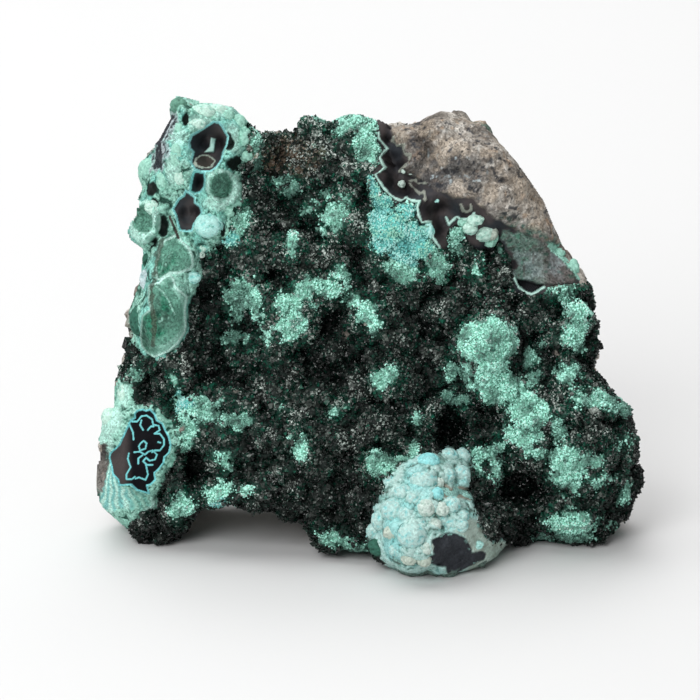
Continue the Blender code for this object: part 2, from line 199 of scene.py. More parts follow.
# Round knobs with a steep foot: x, v, half width, half height and rise.
KNOBS = {
    "pale lobe top": (10.5, -28.5, 9.2, 9.8, 3.8),
    "pale lobe lower left": (7.0, -34.0, 4.5, 4.0, 1.5),
    "pale lobe lower right": (17.5, -33.5, 4.5, 4.0, 1.5),
    "pale ball, middle": (10.0, -28.3, 1.9, 1.9, 1.3),
    "pale ball, left": (7.0, -27.0, 1.8, 1.8, 1.1),
    "pale ball, right": (13.6, -28.8, 2.0, 2.0, 1.3),
    "pale ball, under the middle": (11.2, -31.6, 1.8, 1.8, 1.2),
    "pale ball, far right": (16.4, -29.8, 1.9, 1.9, 1.2),
    "pale ball, low left": (7.4, -32.4, 2.2, 2.2, 1.3),
    "pale ball, foot left": (6.4, -36.0, 2.0, 1.8, 1.1),
    "pale ball, foot middle": (10.4, -36.2, 2.0, 1.8, 1.1),
    "blue disc, top": (10.6, -21.2, 2.6, 1.9, 1.0),
    "blue disc, side": (4.2, -31.4, 1.8, 1.6, 0.9),
    "druse ball beside the lobe": (21.3, -31.2, 3.4, 3.4, 2.5),
    "druse ball under the edge": (2.2, -35.5, 3.0, 3.0, 2.0),
    "green mound, left": (-20.0, 6.5, 4.5, 4.5, 1.8),
    "green mound, centre left": (-12.3, 2.5, 5.0, 5.0, 2.0),
    "green mound, centre": (-7.5, 7.8, 4.5, 3.0, 1.6),
    "green mound, high": (-4.6, 20.3, 3.6, 5.0, 2.0),
    "green mound, upper left": (-12.3, 15.3, 2.6, 2.6, 1.3),
    "green mound, middle": (0.7, 2.7, 3.6, 4.2, 1.5),
    "green mound, low": (3.7, -7.5, 3.5, 4.0, 1.6),
    "green mound, lowest": (-10.8, -18.7, 2.6, 3.4, 1.2),
    "pale ball": (2.3, -21.3, 2.6, 2.6, 1.8),
    "pale dome under the matrix": (19.3, 17.3, 2.8, 2.8, 1.6),
    "right dome cap": (20.0, -1.3, 5.6, 5.0, 1.8),
    "knob under the dome": (21.0, -8.6, 4.2, 4.2, 2.0),
    "lobe knob, upper": (27.0, -11.5, 5.0, 4.8, 2.4),
    "lobe knob, middle": (26.3, -17.0, 5.0, 4.4, 2.0),
    "lobe knob, outer": (36.5, -19.5, 5.4, 5.6, 1.8),
    "lobe knob, top": (36.0, -10.5, 5.0, 4.4, 1.8),
    "lobe knob, foot": (35.0, -31.0, 6.0, 4.0, 1.8),
    "ledge on the right side": (36.0, 4.6, 2.8, 3.4, 1.6),
    "small dome, left edge": (-37.6, 18.0, 2.0, 3.2, 1.8),
    "small dome, lower left edge": (-37.8, 2.7, 2.0, 3.0, 1.4),
    "grey dome in its cup": (-24.4, 24.8, 1.8, 1.8, 2.6),
    "blue knob": (-25.7, 18.0, 2.6, 2.6, 1.8),
    "top knob": (-30.0, 37.0, 2.6, 2.2, 1.4),
}

# Flat-topped shells with a sharp rim: x, v, half width, half height and rise.
SHELLS = {
    "upper shell": (-31.3, 13.6, 3.8, 3.8, 1.6),
    "long shell": (-33.4, 3.4, 4.6, 7.6, 1.9),
    "low shell": (-23.4, -25.6, 4.2, 2.0, 1.6),
    "blue skirt of the left foot": (-24.5, -11.5, 7.5, 3.2, 1.2),
}

# Steep-sided hollows: x, v, half width, half height and depth.
HOLLOWS = {
    "upper cast": (-26.0, 31.2, 3.8, 4.3, 3.2),
    "middle cast": (-27.6, 25.5, 1.9, 2.1, 2.2),
    "lower cast": (-29.2, 20.6, 2.4, 3.3, 2.6),
    "hollow in the left edge": (-33.3, 18.3, 1.7, 2.6, 1.8),
    "hollow by the left foot": (-28.3, -22.5, 2.6, 4.4, 3.6),
    "broken section of the left foot": (-37.5, -20.0, 5.0, 7.0, 1.2),
    "cast band, upper": (4.8, 30.0, 2.6, 4.6, 2.6),
    "cast band, middle": (6.6, 25.0, 3.4, 3.4, 2.6),
    "cast band, lower": (13.2, 19.8, 3.6, 3.8, 2.6),
    "pocket under the shelf": (27.5, 8.2, 2.8, 1.5, 1.6),
    "hollow in the right side": (32.5, 3.9, 2.6, 2.2, 3.0),
    "deep hollow beside the lobe": (14.2, -16.2, 3.8, 5.2, 6.0),
    "hollow under the right lobe": (26.5, -25.8, 5.2, 3.8, 4.6),
}

# Broken faces of the back: the direction that each faces, in x, v and w, and its distance.
BACK_BREAKS = (
    ((-0.48, 0.10, -0.87), 28.0),
    ((0.55, 0.20, -0.81), 30.0),
    ((0.08, 0.50, -0.86), 27.5),
    ((0.10, -0.22, -0.97), 29.0),
)

# Colour zones of the face: groups of ovals, each with x, v, half width and half height.
MINT_SPOTS = {
    "left of the middle": ((-20.2, 6.4, 3.2, 3.4), (-18.0, 4.4, 1.3, 2.8), (-22.6, 1.9, 1.4, 0.7)),
    "streaks under it": ((-21.8, -0.6, 1.6, 1.1), (-17.2, -1.0, 0.7, 1.9)),
    "centre left": ((-12.2, 1.6, 2.9, 3.0), (-12.8, 5.0, 2.5, 1.8), (-8.0, 5.8, 1.3, 1.0)),
    "centre": ((-10.4, 7.5, 2.2, 1.5), (-6.6, 7.8, 2.6, 1.6), (-3.8, 9.4, 1.7, 1.5)),
    "high centre": ((-4.8, 20.0, 2.2, 3.4), (-9.4, 21.2, 1.6, 1.3), (-6.6, 23.4, 1.2, 0.8)),
    "high drop": ((-6.4, 17.2, 0.8, 1.2), (-12.4, 15.0, 1.4, 1.6), (-19.0, 14.8, 0.8, 0.7)),
    "upper basin": ((-13.6, 26.0, 1.6, 1.0), (-12.2, 24.4, 0.9, 1.4), (-18.0, 28.2, 1.0, 0.9)),
    "middle": ((0.2, 2.6, 2.2, 3.0), (-2.0, 5.4, 1.5, 1.1)),
    "low middle": ((3.4, -7.2, 2.3, 2.3), (9.2, -14.0, 1.2, 1.3), (-4.8, -13.0, 0.9, 0.6)),
    "lower left": ((-10.6, -18.6, 1.5, 2.4), (-22.8, -21.0, 1.6, 1.4), (-13.4, -12.4, 0.7, 0.8)),
    "pale ball": ((2.6, -21.3, 2.5, 2.5), (6.2, -20.6, 1.8, 0.9), (7.5, -18.6, 0.9, 1.4)),
    "top edge": ((-2.2, 35.2, 4.0, 1.6), (0.6, 31.8, 2.0, 3.0), (1.6, 34.4, 1.6, 1.8)),
    "top edge, left": ((-7.0, 35.4, 1.4, 0.8), (-18.4, 31.8, 1.2, 2.8), (-20.4, 18.4, 1.5, 2.2)),
    "right dome": ((20.2, -1.2, 5.0, 4.0), (21.6, 0.6, 3.4, 2.2), (14.2, -6.2, 1.0, 1.8)),
    "beside the dome": ((16.6, -6.4, 1.2, 1.8), (15.8, -10.0, 2.2, 1.2), (29.0, -0.8, 1.2, 0.9)),
    "under the dome": ((21.0, -7.4, 3.4, 4.0), (24.6, -9.6, 2.4, 2.0), (27.6, -4.0, 1.3, 2.0)),
    "lobe, upper": ((27.0, -12.4, 3.0, 3.2), (28.4, -7.6, 1.4, 1.6), (25.8, -16.8, 3.2, 2.6)),
    "lobe, bridge": ((32.2, -15.4, 1.2, 3.0), (28.8, -19.2, 2.6, 1.0), (20.4, -19.6, 2.8, 1.2)),
    "beside the pale lobe": ((22.2, -22.8, 1.2, 2.6), (19.6, -22.0, 1.0, 1.4)),
    "lobe, outer": ((33.2, -22.0, 3.0, 4.4), (37.0, -20.4, 2.6, 1.4), (38.6, -24.0, 2.6, 1.5)),
    "lobe edge": ((43.2, -26.4, 1.2, 1.8), (43.8, -18.8, 0.7, 2.2), (41.4, -18.4, 1.0, 0.8)),
    "lobe foot": ((34.8, -32.0, 4.6, 3.2), (29.2, -33.6, 0.9, 0.6), (41.6, -31.8, 0.8, 0.6)),
    "lobe shoulder": ((33.6, -6.6, 2.4, 2.4), (38.0, -10.6, 3.8, 2.0), (41.6, -12.0, 2.4, 1.8)),
    "right side": ((34.2, -0.6, 2.8, 3.0), (35.2, 4.6, 2.0, 3.0), (32.4, 7.0, 3.6, 1.2)),
    "left foot": ((-27.0, -12.0, 3.4, 2.2), (-21.4, -14.2, 2.8, 1.6), (-30.2, -15.0, 1.8, 3.8)),
    "left foot, low": ((-30.2, -28.4, 1.7, 2.2), (-24.2, -25.8, 2.8, 1.5), (-20.6, -25.8, 1.8, 0.8)),
    "left edge": ((-38.2, -6.2, 1.3, 1.1), (-31.8, -7.8, 0.9, 1.0), (-25.6, 13.8, 1.6, 0.8)),
    "lower edge": ((-6.0, -33.8, 1.8, 1.2), (-1.4, -35.0, 3.4, 0.9)),
    "pale loop": ((18.2, 12.0, 0.6, 1.8), (24.2, 13.8, 1.4, 1.0)),
    "under the blue patch": ((5.8, 11.0, 3.4, 2.6), (12.4, 12.0, 1.9, 3.0), (15.2, 16.0, 1.3, 2.4)),
}
BLUE_SPOTS = {
    "under the matrix": ((6.8, 15.8, 6.2, 3.8), (3.2, 18.6, 2.6, 2.8), (9.6, 18.0, 1.8, 3.0)),
    "beside the casts": ((2.8, 23.6, 1.8, 3.4), (7.2, 20.8, 2.6, 1.4)),
    "blue skirt": ((-30.4, -11.6, 2.0, 1.6), (-24.6, -27.8, 1.9, 0.7), (-22.6, 16.2, 1.6, 1.2)),
}
LEFT_MARGIN = (
    (-33.4, 41.0), (-28.0, 39.4), (-22.4, 38.0), (-19.6, 36.2), (-19.8, 33.6), (-20.6, 31.8),
    (-19.2, 30.0), (-20.8, 28.2), (-20.6, 25.6), (-20.8, 21.6), (-22.2, 20.6), (-22.6, 17.4),
    (-23.8, 15.4), (-25.8, 14.2), (-27.6, 12.6), (-27.2, 9.8), (-28.2, 7.6), (-29.4, 5.6),
    (-29.5, 1.4), (-30.6, -1.6), (-32.4, -3.0), (-34.4, -3.9), (-36.4, -3.4), (-37.8, -1.8),
    (-40.0, -1.0), (-42.0, 4.0), (-41.0, 12.0), (-42.0, 19.0), (-40.0, 28.0), (-36.0, 35.0),
)
LEFT_FOOT_CRUST = (
    (-41.6, -7.4), (-38.6, -8.0), (-38.4, -11.8), (-34.8, -11.6), (-32.2, -14.4), (-31.2, -17.4),
    (-31.8, -20.6), (-33.6, -23.6), (-34.6, -26.2), (-35.0, -28.6), (-37.0, -29.4),
    (-39.4, -31.4), (-41.6, -33.0), (-45.0, -31.0), (-48.0, -24.0), (-46.0, -12.0),
)
UPPER_RIGHT = (
    (5.0, 39.0), (2.4, 36.0), (1.6, 33.6), (1.8, 32.2), (2.8, 30.9), (1.9, 29.5), (2.3, 28.2),
    (1.0, 26.8), (1.8, 25.2), (3.0, 23.4), (4.8, 22.1), (8.3, 21.5), (8.2, 19.6), (9.0, 18.0),
    (10.4, 18.0), (10.8, 15.8), (12.4, 13.6), (13.8, 14.6), (14.2, 17.4), (16.0, 18.0),
    (17.2, 15.2), (19.0, 13.8), (21.4, 14.2), (22.4, 15.4), (24.2, 12.4), (24.3, 9.4),
    (25.2, 7.2), (27.4, 6.2), (29.4, 6.6), (31.0, 8.0), (34.0, 8.4), (38.0, 8.6), (38.0, 16.0),
    (30.0, 37.0), (12.0, 41.0),
)
MATRIX = (
    (5.0, 38.0), (4.4, 34.0), (4.7, 32.3), (5.3, 31.6), (6.4, 31.6), (6.5, 30.5), (7.6, 29.9),
    (7.3, 28.9), (6.1, 27.7), (7.0, 26.6), (9.7, 25.8), (12.2, 23.9), (15.0, 22.6),
    (18.0, 22.4), (20.4, 20.0), (23.4, 18.4), (26.0, 17.2), (28.5, 15.6), (33.0, 15.2),
    (36.0, 16.0), (30.0, 37.0), (12.0, 41.0),
)
SHELF = (
    (22.9, 17.6), (25.0, 17.3), (28.0, 15.9), (30.8, 14.9), (33.1, 12.9), (34.4, 11.6),
    (35.6, 8.7), (33.2, 8.4), (30.3, 8.5), (28.6, 8.7), (27.0, 9.2), (25.0, 9.5), (24.9, 10.5),
    (25.7, 11.6), (24.8, 12.6), (24.0, 14.0), (23.3, 15.5), (22.4, 16.3),
)
CAST_RIM = (
    (2.2, 33.5), (2.3, 32.7), (3.2, 31.7), (3.8, 31.0), (2.9, 30.2), (2.5, 29.5), (2.8, 28.7),
    (3.4, 27.8), (2.6, 27.2), (1.7, 26.6), (2.3, 25.6), (3.2, 24.2), (4.1, 23.3), (5.0, 22.7),
    (6.1, 22.3), (6.8, 22.8), (8.0, 22.2), (9.0, 22.1), (8.7, 20.9), (8.9, 19.7), (9.4, 18.7),
    (10.9, 18.8), (11.0, 17.5), (11.3, 16.1), (12.4, 14.4),
)
CAST_RIM_RIGHT = ((13.5, 19.5), (14.0, 18.4), (15.2, 19.7), (16.0, 19.1), (17.4, 19.3), (18.1, 20.1))
MATRIX_RIM = (
    (4.7, 33.0), (4.7, 32.3), (5.3, 31.6), (6.4, 31.6), (6.4, 30.6), (6.8, 30.0), (7.6, 29.9),
    (7.3, 28.9), (6.4, 28.0), (5.8, 27.3),
)
SMALL_RIMS = (
    ((7.3, 25.7), (8.3, 25.8), (8.7, 25.2), (10.2, 25.2)),
    ((7.3, 25.3), (8.4, 24.1), (9.1, 23.4), (9.8, 23.7), (10.0, 22.4)),
    ((15.9, 21.6), (16.2, 20.7), (16.9, 20.3), (17.5, 20.7), (17.5, 21.6)),
)
CAST_PITS = (
    (3.6, 32.7, 1.0, 0.8, 0.6), (4.3, 29.9, 1.6, 1.4, 0.8), (4.2, 25.4, 2.3, 2.4, 1.0),
    (5.6, 28.2, 1.5, 1.2, 0.6), (7.1, 24.2, 1.7, 1.4, 0.8), (9.9, 21.0, 1.4, 2.0, 0.8),
    (12.6, 21.2, 1.8, 1.2, 0.6), (16.7, 20.2, 1.6, 1.1, 1.2), (12.3, 17.4, 1.3, 2.6, 0.4),
)
SHELF_POCKET = (
    (25.1, 9.3), (26.7, 9.1), (28.5, 8.5), (29.7, 8.4), (28.8, 7.4), (27.6, 7.0), (26.4, 7.6),
    (25.7, 8.3),
)
POCKET_RIM = ((24.9, 9.4), (25.5, 8.0), (26.7, 7.1), (27.8, 6.8), (28.8, 7.3), (29.8, 7.9))
SHELF_EDGE = ((30.9, 14.7), (33.1, 12.9), (34.6, 11.7), (35.8, 9.9), (36.1, 8.9))
PALE_LOBE = (
    (8.5, -20.2), (12.5, -19.3), (14.0, -18.7), (16.5, -19.3), (17.8, -21.5), (16.8, -25.3),
    (17.8, -28.0), (18.8, -31.2), (20.3, -34.0), (23.8, -34.8), (21.5, -38.0), (15.0, -41.5),
    (5.3, -41.5), (3.0, -38.0), (0.5, -33.5), (1.5, -30.2), (1.8, -28.0), (3.5, -25.3),
    (4.2, -23.5), (6.0, -21.3),
)
BLACK_INCLUSION = (
    (11.3, -33.9), (13.1, -33.0), (13.8, -32.8), (15.4, -33.2), (16.4, -33.9), (17.2, -35.4),
    (17.3, -36.4), (19.1, -36.0), (19.7, -36.3), (19.4, -36.9), (16.7, -38.1), (15.0, -39.0),
    (13.8, -39.0), (13.6, -37.9), (12.0, -37.7), (10.9, -37.3), (10.8, -36.7), (11.6, -36.1),
)
UPPER_CAST = (
    (-25.1, 35.3), (-24.2, 35.2), (-23.7, 34.6), (-23.1, 33.5), (-22.7, 32.9), (-23.0, 31.4),
    (-23.5, 30.5), (-23.8, 29.0), (-24.6, 27.8), (-25.5, 27.1), (-27.1, 27.0), (-28.1, 27.4),
    (-28.8, 28.5), (-28.4, 30.3), (-29.0, 30.9), (-29.1, 31.9), (-28.7, 33.0), (-27.6, 33.7),
    (-26.5, 34.4),
)
MIDDLE_CAST = (
    (-28.2, 27.1), (-26.6, 26.8), (-26.6, 25.5), (-26.7, 24.6), (-27.3, 23.7), (-28.2, 23.4),
    (-29.0, 23.8), (-28.8, 25.2), (-28.5, 26.5),
)
LOWER_CAST = (
    (-29.7, 23.9), (-29.0, 23.4), (-28.2, 22.8), (-28.2, 21.9), (-27.4, 21.3), (-27.1, 20.3),
    (-27.8, 19.0), (-28.4, 18.5), (-28.7, 17.3), (-29.7, 17.2), (-30.8, 17.4), (-31.1, 18.7),
    (-31.4, 19.9), (-31.9, 20.9), (-30.9, 22.5), (-30.0, 23.1),
)
LOBE_DRAPE = (
    (16.2, -29.4), (18.4, -30.6), (20.3, -33.6), (24.5, -34.6), (22.0, -38.5), (16.5, -40.0),
    (17.6, -36.0), (16.2, -33.2), (14.6, -32.4),
)
LOBE_CREVICE = ((12.6, -25.2), (14.0, -26.2), (15.8, -25.9), (17.4, -26.4))
CAST_SEPTUM = ((-25.6, 32.8), (-24.8, 32.6), (-25.1, 30.4), (-26.7, 30.3), (-25.8, 31.3))
UPPER_SHELL = (
    (-31.4, 16.8), (-30.6, 16.0), (-29.0, 14.4), (-28.4, 13.0), (-28.4, 11.5), (-29.0, 10.7),
    (-30.9, 10.1), (-32.2, 10.1), (-34.0, 9.0), (-34.6, 9.0), (-34.9, 10.9), (-35.0, 12.3),
    (-34.5, 12.8), (-34.3, 14.7), (-33.5, 15.8),
)
BIG_SHELL = (
    (-32.2, 10.1), (-31.6, 9.3), (-31.3, 8.0), (-29.4, 6.4), (-29.7, 4.0), (-29.6, 1.6),
    (-29.8, 0.4), (-30.9, -1.4), (-32.5, -2.8), (-34.0, -3.4), (-35.1, -3.8), (-36.2, -3.2),
    (-37.3, -1.9), (-37.5, -0.3), (-37.0, 3.2), (-35.6, 4.3), (-36.0, 5.6), (-36.0, 8.3),
    (-34.9, 8.6), (-34.1, 8.8), (-33.3, 9.6),
)
SHELL_RIDGE = ((-34.5, 8.0), (-33.3, 7.0), (-32.4, 5.6), (-31.9, 4.3), (-31.4, 3.4))
INNER_RIDGE = ((-31.3, 16.4), (-32.4, 13.8), (-33.3, 12.6), (-33.9, 10.2))
MARGIN_SEAM = ((-32.4, 19.6), (-31.6, 17.8), (-31.0, 16.2))
DARK_BAND = ((-32.2, 35.8), (-33.3, 33.4), (-34.2, 31.9), (-33.9, 30.2), (-34.4, 28.4))
MARGIN_HOLLOWS = (
    (-33.7, 18.2, 1.2, 1.8, 1.0), (-35.6, 15.4, 1.3, 1.2, 0.7), (-35.4, 24.2, 1.0, 1.3, 0.6),
    (-33.9, 30.2, 0.9, 1.2, 0.5), (-22.6, 32.2, 1.0, 1.6, 0.5), (-21.4, 28.4, 2.0, 1.3, 1.2),
    (-29.7, 35.6, 0.6, 1.2, 0.4), (-23.6, 17.4, 0.5, 1.3, 0.5), (-34.9, 22.0, 0.7, 0.8, 0.5),
)
FLOWER = (
    (-39.0, -14.2), (-38.3, -13.8), (-38.3, -13.1), (-37.9, -12.6), (-37.0, -12.4),
    (-36.4, -12.6), (-35.7, -12.4), (-35.0, -13.1), (-34.6, -14.2), (-33.7, -14.7),
    (-33.2, -15.8), (-32.6, -16.9), (-32.3, -18.3), (-32.6, -19.6), (-33.4, -20.3),
    (-33.5, -21.2), (-34.3, -22.3), (-35.0, -22.9), (-34.9, -24.1), (-35.7, -24.9),
    (-36.3, -25.0), (-36.0, -26.4), (-38.0, -25.8), (-38.9, -24.9), (-40.9, -25.0),
    (-41.1, -24.1), (-42.0, -23.2), (-42.2, -22.0), (-42.7, -20.5), (-42.6, -19.8),
    (-40.9, -18.3), (-39.5, -15.3),
)
FLOWER_LINES = (
    ((-38.8, -14.4), (-37.9, -14.4), (-37.2, -13.5), (-36.3, -13.4), (-35.4, -14.0),
     (-35.2, -14.9), (-34.3, -15.1), (-34.1, -15.8), (-35.0, -16.4), (-34.1, -16.4),
     (-33.4, -17.3), (-33.4, -18.3), (-34.1, -19.2), (-35.0, -19.2), (-35.4, -19.5)),
    ((-39.3, -14.7), (-38.6, -16.2), (-38.5, -17.4)),
    ((-37.2, -14.2), (-37.4, -15.0), (-36.9, -15.8)),
    ((-36.1, -15.8), (-35.6, -15.2), (-35.1, -15.2)),
    ((-34.0, -17.9), (-34.4, -17.8)),
    ((-37.3, -18.0), (-36.8, -17.6), (-36.3, -18.0), (-36.5, -18.9), (-37.4, -19.2),
     (-37.6, -18.5), (-37.3, -18.0)),
    ((-38.4, -19.5), (-37.4, -19.4), (-36.6, -19.9), (-36.0, -19.4), (-35.3, -19.2),
     (-34.6, -19.9), (-34.9, -20.7), (-35.8, -20.9), (-36.4, -20.4), (-36.9, -21.0),
     (-36.2, -21.6), (-35.3, -21.6)),
    ((-37.7, -21.4), (-37.7, -20.5), (-37.0, -20.0)),
    ((-39.3, -19.7), (-39.5, -20.6), (-39.2, -21.5), (-39.0, -22.0), (-39.7, -23.2),
     (-39.7, -24.0), (-38.8, -24.0), (-38.3, -23.6)),
    ((-38.2, -23.9), (-37.6, -23.7), (-36.5, -24.1), (-36.1, -23.2), (-36.4, -21.6)),
)

MARGIN_PALE_SPOTS = (
    (-21.9, 32.8, 1.3, 2.2), (-30.9, 32.8, 1.5, 1.6), (-31.8, 27.4, 1.2, 2.4),
    (-27.4, 35.2, 2.0, 1.2), (-24.6, 37.4, 2.6, 1.2), (-24.4, 21.8, 2.4, 1.2),
)
MARGIN_CAST_PITS = (
    (-26.9, 32.2, 1.5, 1.4, 0.7), (-24.1, 31.9, 1.0, 1.6, 0.6), (-27.6, 25.6, 0.9, 1.1, 0.7),
    (-28.1, 20.6, 1.1, 1.2, 0.6), (-30.2, 20.2, 1.0, 1.3, 0.3),
)
CUP = (-23.6, 24.4, 2.6, 2.9)
EDGE_CUP = (-36.7, 18.8, 2.5, 3.3)
SHELL_SEAM = (
    (-33.7, 15.6), (-34.6, 13.2), (-34.9, 10.4), (-35.4, 7.4), (-35.1, 4.2), (-34.8, 1.2),
    (-35.2, -1.6),
)
CAST_RING = (-26.6, 28.7, 1.55, 1.1)
FOOT_PALE_SPOTS = (
    (-42.8, -14.0, 2.4, 2.6), (-40.3, -9.8, 1.0, 2.0), (-43.2, -18.0, 1.2, 2.0),
    (-36.2, -28.2, 1.6, 1.2),
)
FOOT_SKIRT = (
    (-44.0, -25.2), (-42.4, -21.2), (-41.8, -23.4), (-41.0, -25.2), (-38.2, -25.8),
    (-35.8, -27.0), (-35.5, -28.4), (-36.8, -29.1), (-39.0, -29.2), (-41.2, -28.9),
    (-42.6, -30.0), (-44.6, -28.4),
)
FOOT_SKIRT_CENTRE = (-42.2, -19.0)
FOOT_STRIP = (
    (-45.0, -18.0), (-43.0, -17.8), (-42.8, -20.8), (-43.0, -23.4), (-44.2, -26.0),
    (-46.5, -26.0), (-46.0, -19.0),
)
MATRIX_PITS = (
    (22.7, 25.6, 1.1, 0.7, 0.9), (20.9, 28.9, 0.4, 0.9, 0.4), (24.6, 19.8, 0.7, 0.5, 0.5),
)
MATRIX_DUSK = (14.0, 26.6, 6.6, 4.6)
BROWN_BASIN = (-13.6, 29.6, 7.0, 3.6)
CRUST_MIDDLE = 3.0

# Rounded growths: x, v, half width, half height, how far each stands out, and its kind.
KNOB_TABLE = (
    (-30.9, 38.0, 1.4, 1.3, 1.0, "velvet"), (-27.1, 36.8, 2.3, 1.4, 0.8, "pale"),
    (-24.6, 37.0, 1.8, 1.3, 0.9, "pale"), (-22.9, 36.2, 1.3, 1.2, 0.8, "mint"),
    (-21.2, 35.2, 1.5, 1.4, 0.9, "mint"), (-27.9, 34.9, 1.5, 0.9, 0.8, "pale"),
    (-30.6, 34.0, 1.1, 1.3, 0.7, "mint"), (-36.2, 27.4, 1.6, 2.0, 0.9, "mint"),
    (-33.3, 25.6, 1.3, 1.9, 0.8, "mint"), (-31.1, 29.6, 1.2, 2.0, 0.8, "mint"),
    (-30.6, 26.4, 1.0, 1.6, 0.8, "pale"), (-35.3, 21.2, 1.3, 1.2, 1.0, "pale"),
    (-25.9, 18.2, 2.4, 2.1, 0.9, "blue"), (-22.8, 20.4, 1.2, 1.0, 0.7, "mint"),
    (-19.8, 29.9, 1.3, 1.1, 0.9, "mint"), (-20.0, 33.0, 1.0, 1.6, 0.7, "mint"),
    (-29.2, 9.5, 2.0, 1.1, 1.1, "blue"), (-27.2, 13.3, 0.55, 0.55, 0.7, "white"),
    (-26.8, 14.4, 0.7, 0.5, 0.6, "pale"), (-37.8, 2.4, 1.3, 2.4, 0.9, "dark"),
    (-36.5, 9.2, 1.0, 1.8, 0.6, "lilac"), (-36.3, 12.4, 0.8, 1.2, 0.6, "dark"),
    (-42.6, -13.8, 1.4, 1.6, 0.8, "pale"), (-40.3, -9.8, 0.9, 1.5, 0.8, "pale"),
    (-22.8, 17.8, 1.2, 1.6, 0.6, "mint"), (19.7, 17.2, 1.9, 1.7, 0.9, "pale"),
    (17.4, 17.8, 1.3, 1.2, 0.9, "pale"),
    (18.3, 19.0, 1.5, 0.9, 0.9, "pale"), (20.9, 17.0, 1.2, 1.3, 0.8, "cream"),
    (16.3, 18.6, 0.9, 0.8, 0.6, "mint"), (21.4, 16.2, 0.8, 0.9, 0.8, "mint"), (20.8, 15.4, 1.0, 0.8, 0.8, "mint"),
    (6.1, 25.1, 0.55, 0.6, 0.3, "white"), (6.6, 27.2, 0.6, 0.35, 0.5, "white"),
    (7.6, 27.0, 0.5, 0.35, 0.5, "white"), (11.9, 22.2, 0.3, 0.35, 0.3, "blue"),
    (10.4, 17.2, 1.1, 1.4, 0.8, "blue"), (32.2, 13.6, 1.2, 0.9, 0.7, "mint"),
    (34.8, 11.2, 0.9, 1.5, 0.7, "mint"),
)
LOBE_KNOBS = (
    (10.0, -28.4, 1.4, 1.4, 1.9, "white"), (8.0, -27.0, 1.3, 1.1, 1.2, "sky"),
    (11.3, -31.1, 1.2, 1.0, 1.6, "white"), (12.9, -30.3, 1.1, 1.1, 1.7, "sky"),
    (14.2, -31.0, 1.2, 1.2, 1.8, "sky"), (15.8, -31.3, 1.1, 1.1, 1.5, "sky"),
    (16.0, -29.8, 1.1, 1.0, 1.5, "sky"), (14.2, -27.9, 1.5, 1.3, 1.8, "sky"),
    (12.6, -28.6, 1.2, 1.1, 1.6, "white"), (7.7, -32.8, 2.4, 2.2, 1.9, "sky"),
    (5.0, -28.9, 2.3, 2.1, 1.5, "sky"), (2.6, -30.6, 1.6, 1.7, 1.3, "sky"),
    (1.6, -32.5, 1.4, 1.4, 1.1, "sky"), (4.1, -24.0, 1.2, 1.0, 0.9, "sky"),
    (9.6, -24.2, 2.4, 2.0, 1.5, "sky"), (13.8, -20.2, 1.6, 1.4, 1.1, "sky"),
    (16.2, -20.2, 1.4, 1.4, 1.0, "sky"), (15.8, -23.0, 1.6, 1.4, 1.3, "sky"),
    (13.4, -23.2, 1.5, 1.4, 1.2, "sky"), (11.8, -26.3, 1.1, 1.2, 1.4, "disc"),
    (6.3, -26.1, 1.6, 1.4, 1.2, "sky"), (6.9, -29.6, 1.6, 1.5, 1.5, "sky"),
    (10.0, -34.9, 1.2, 1.2, 1.2, "white"), (9.7, -36.8, 1.2, 1.3, 0.9, "cream"),
    (7.3, -36.6, 1.4, 1.2, 0.9, "cream"), (4.2, -32.5, 1.3, 1.1, 1.3, "cream"),
    (10.4, -21.0, 1.9, 1.5, 1.0, "disc"), (2.4, -34.9, 1.9, 1.6, 0.9, "dark"),
    (9.0, -31.2, 1.2, 1.1, 1.2, "sky"), (18.2, -34.6, 1.3, 0.8, 0.5, "blue"),
    (12.0, -24.4, 1.0, 0.9, 0.9, "white"), (5.0, -35.4, 1.1, 1.0, 0.8, "sky"),
)

# Colours of the minerals, and of painted shade in their gaps, as linear red, green and blue
DRUSE_BLACK = (0.006, 0.011, 0.009)
DRUSE_GREEN = (0.012, 0.055, 0.038)
MINT_LIGHT = (0.34, 0.62, 0.52)
MINT_MIDDLE = (0.15, 0.36, 0.28)
MINT_DARK = (0.035, 0.13, 0.095)
# The next colour is painted shade in the gaps between lumps, and also the colour of real dark specks.
CRUST_GAP_SHADE_AND_SPECK = (0.014, 0.060, 0.042)
BLUE_LIGHT = (0.45, 0.80, 0.77)
BLUE_DEEP = (0.10, 0.50, 0.50)
STAIN_GREEN = (0.040, 0.085, 0.062)
SHELL_GREEN = (0.062, 0.150, 0.112)
SHELL_DARK = (0.030, 0.075, 0.055)
SHELL_VIVID = (0.022, 0.170, 0.100)
SEAM_BROWN = (0.060, 0.075, 0.055)
LILAC_GREY = (0.38, 0.45, 0.47)
SHELL_MINT = (0.12, 0.29, 0.22)
SHELL_PALE = (0.26, 0.50, 0.41)
SHELF_GREEN = (0.06, 0.16, 0.12)
SHELF_BROWN = (0.11, 0.10, 0.095)
MARGIN_MINT = (0.30, 0.58, 0.48)
MARGIN_BLUE = (0.18, 0.52, 0.46)
MARGIN_PALE = (0.46, 0.74, 0.65)
SKIRT_BLUE = (0.20, 0.50, 0.47)
RIM_PALE = (0.52, 0.78, 0.70)
RIM_BLUE = (0.34, 0.78, 0.76)
RIM_CREAM = (0.34, 0.36, 0.31)
FLOWER_BLUE = (0.18, 0.58, 0.60)
CAST_DARK = (0.032, 0.036, 0.043)
CAST_BLACK = (0.006, 0.006, 0.008)
CAST_BROWN = (0.062, 0.052, 0.052)
ROCK_LIGHT = (0.58, 0.55, 0.50)
ROCK_MIDDLE = (0.26, 0.235, 0.205)
ROCK_DARK = (0.065, 0.055, 0.048)
ROCK_TAN = (0.36, 0.30, 0.235)
ROCK_RUST = (0.42, 0.27, 0.16)
SHELF_GREY = (0.15, 0.175, 0.16)
PALE_CREAM = (0.42, 0.47, 0.40)
MINT_UNDER = (0.17, 0.40, 0.31)
BLUE_UNDER = (0.13, 0.46, 0.42)
# The next colour is painted shade, for the gaps between the lobe's lumps.
LOBE_GAP_SHADE = (0.13, 0.19, 0.165)
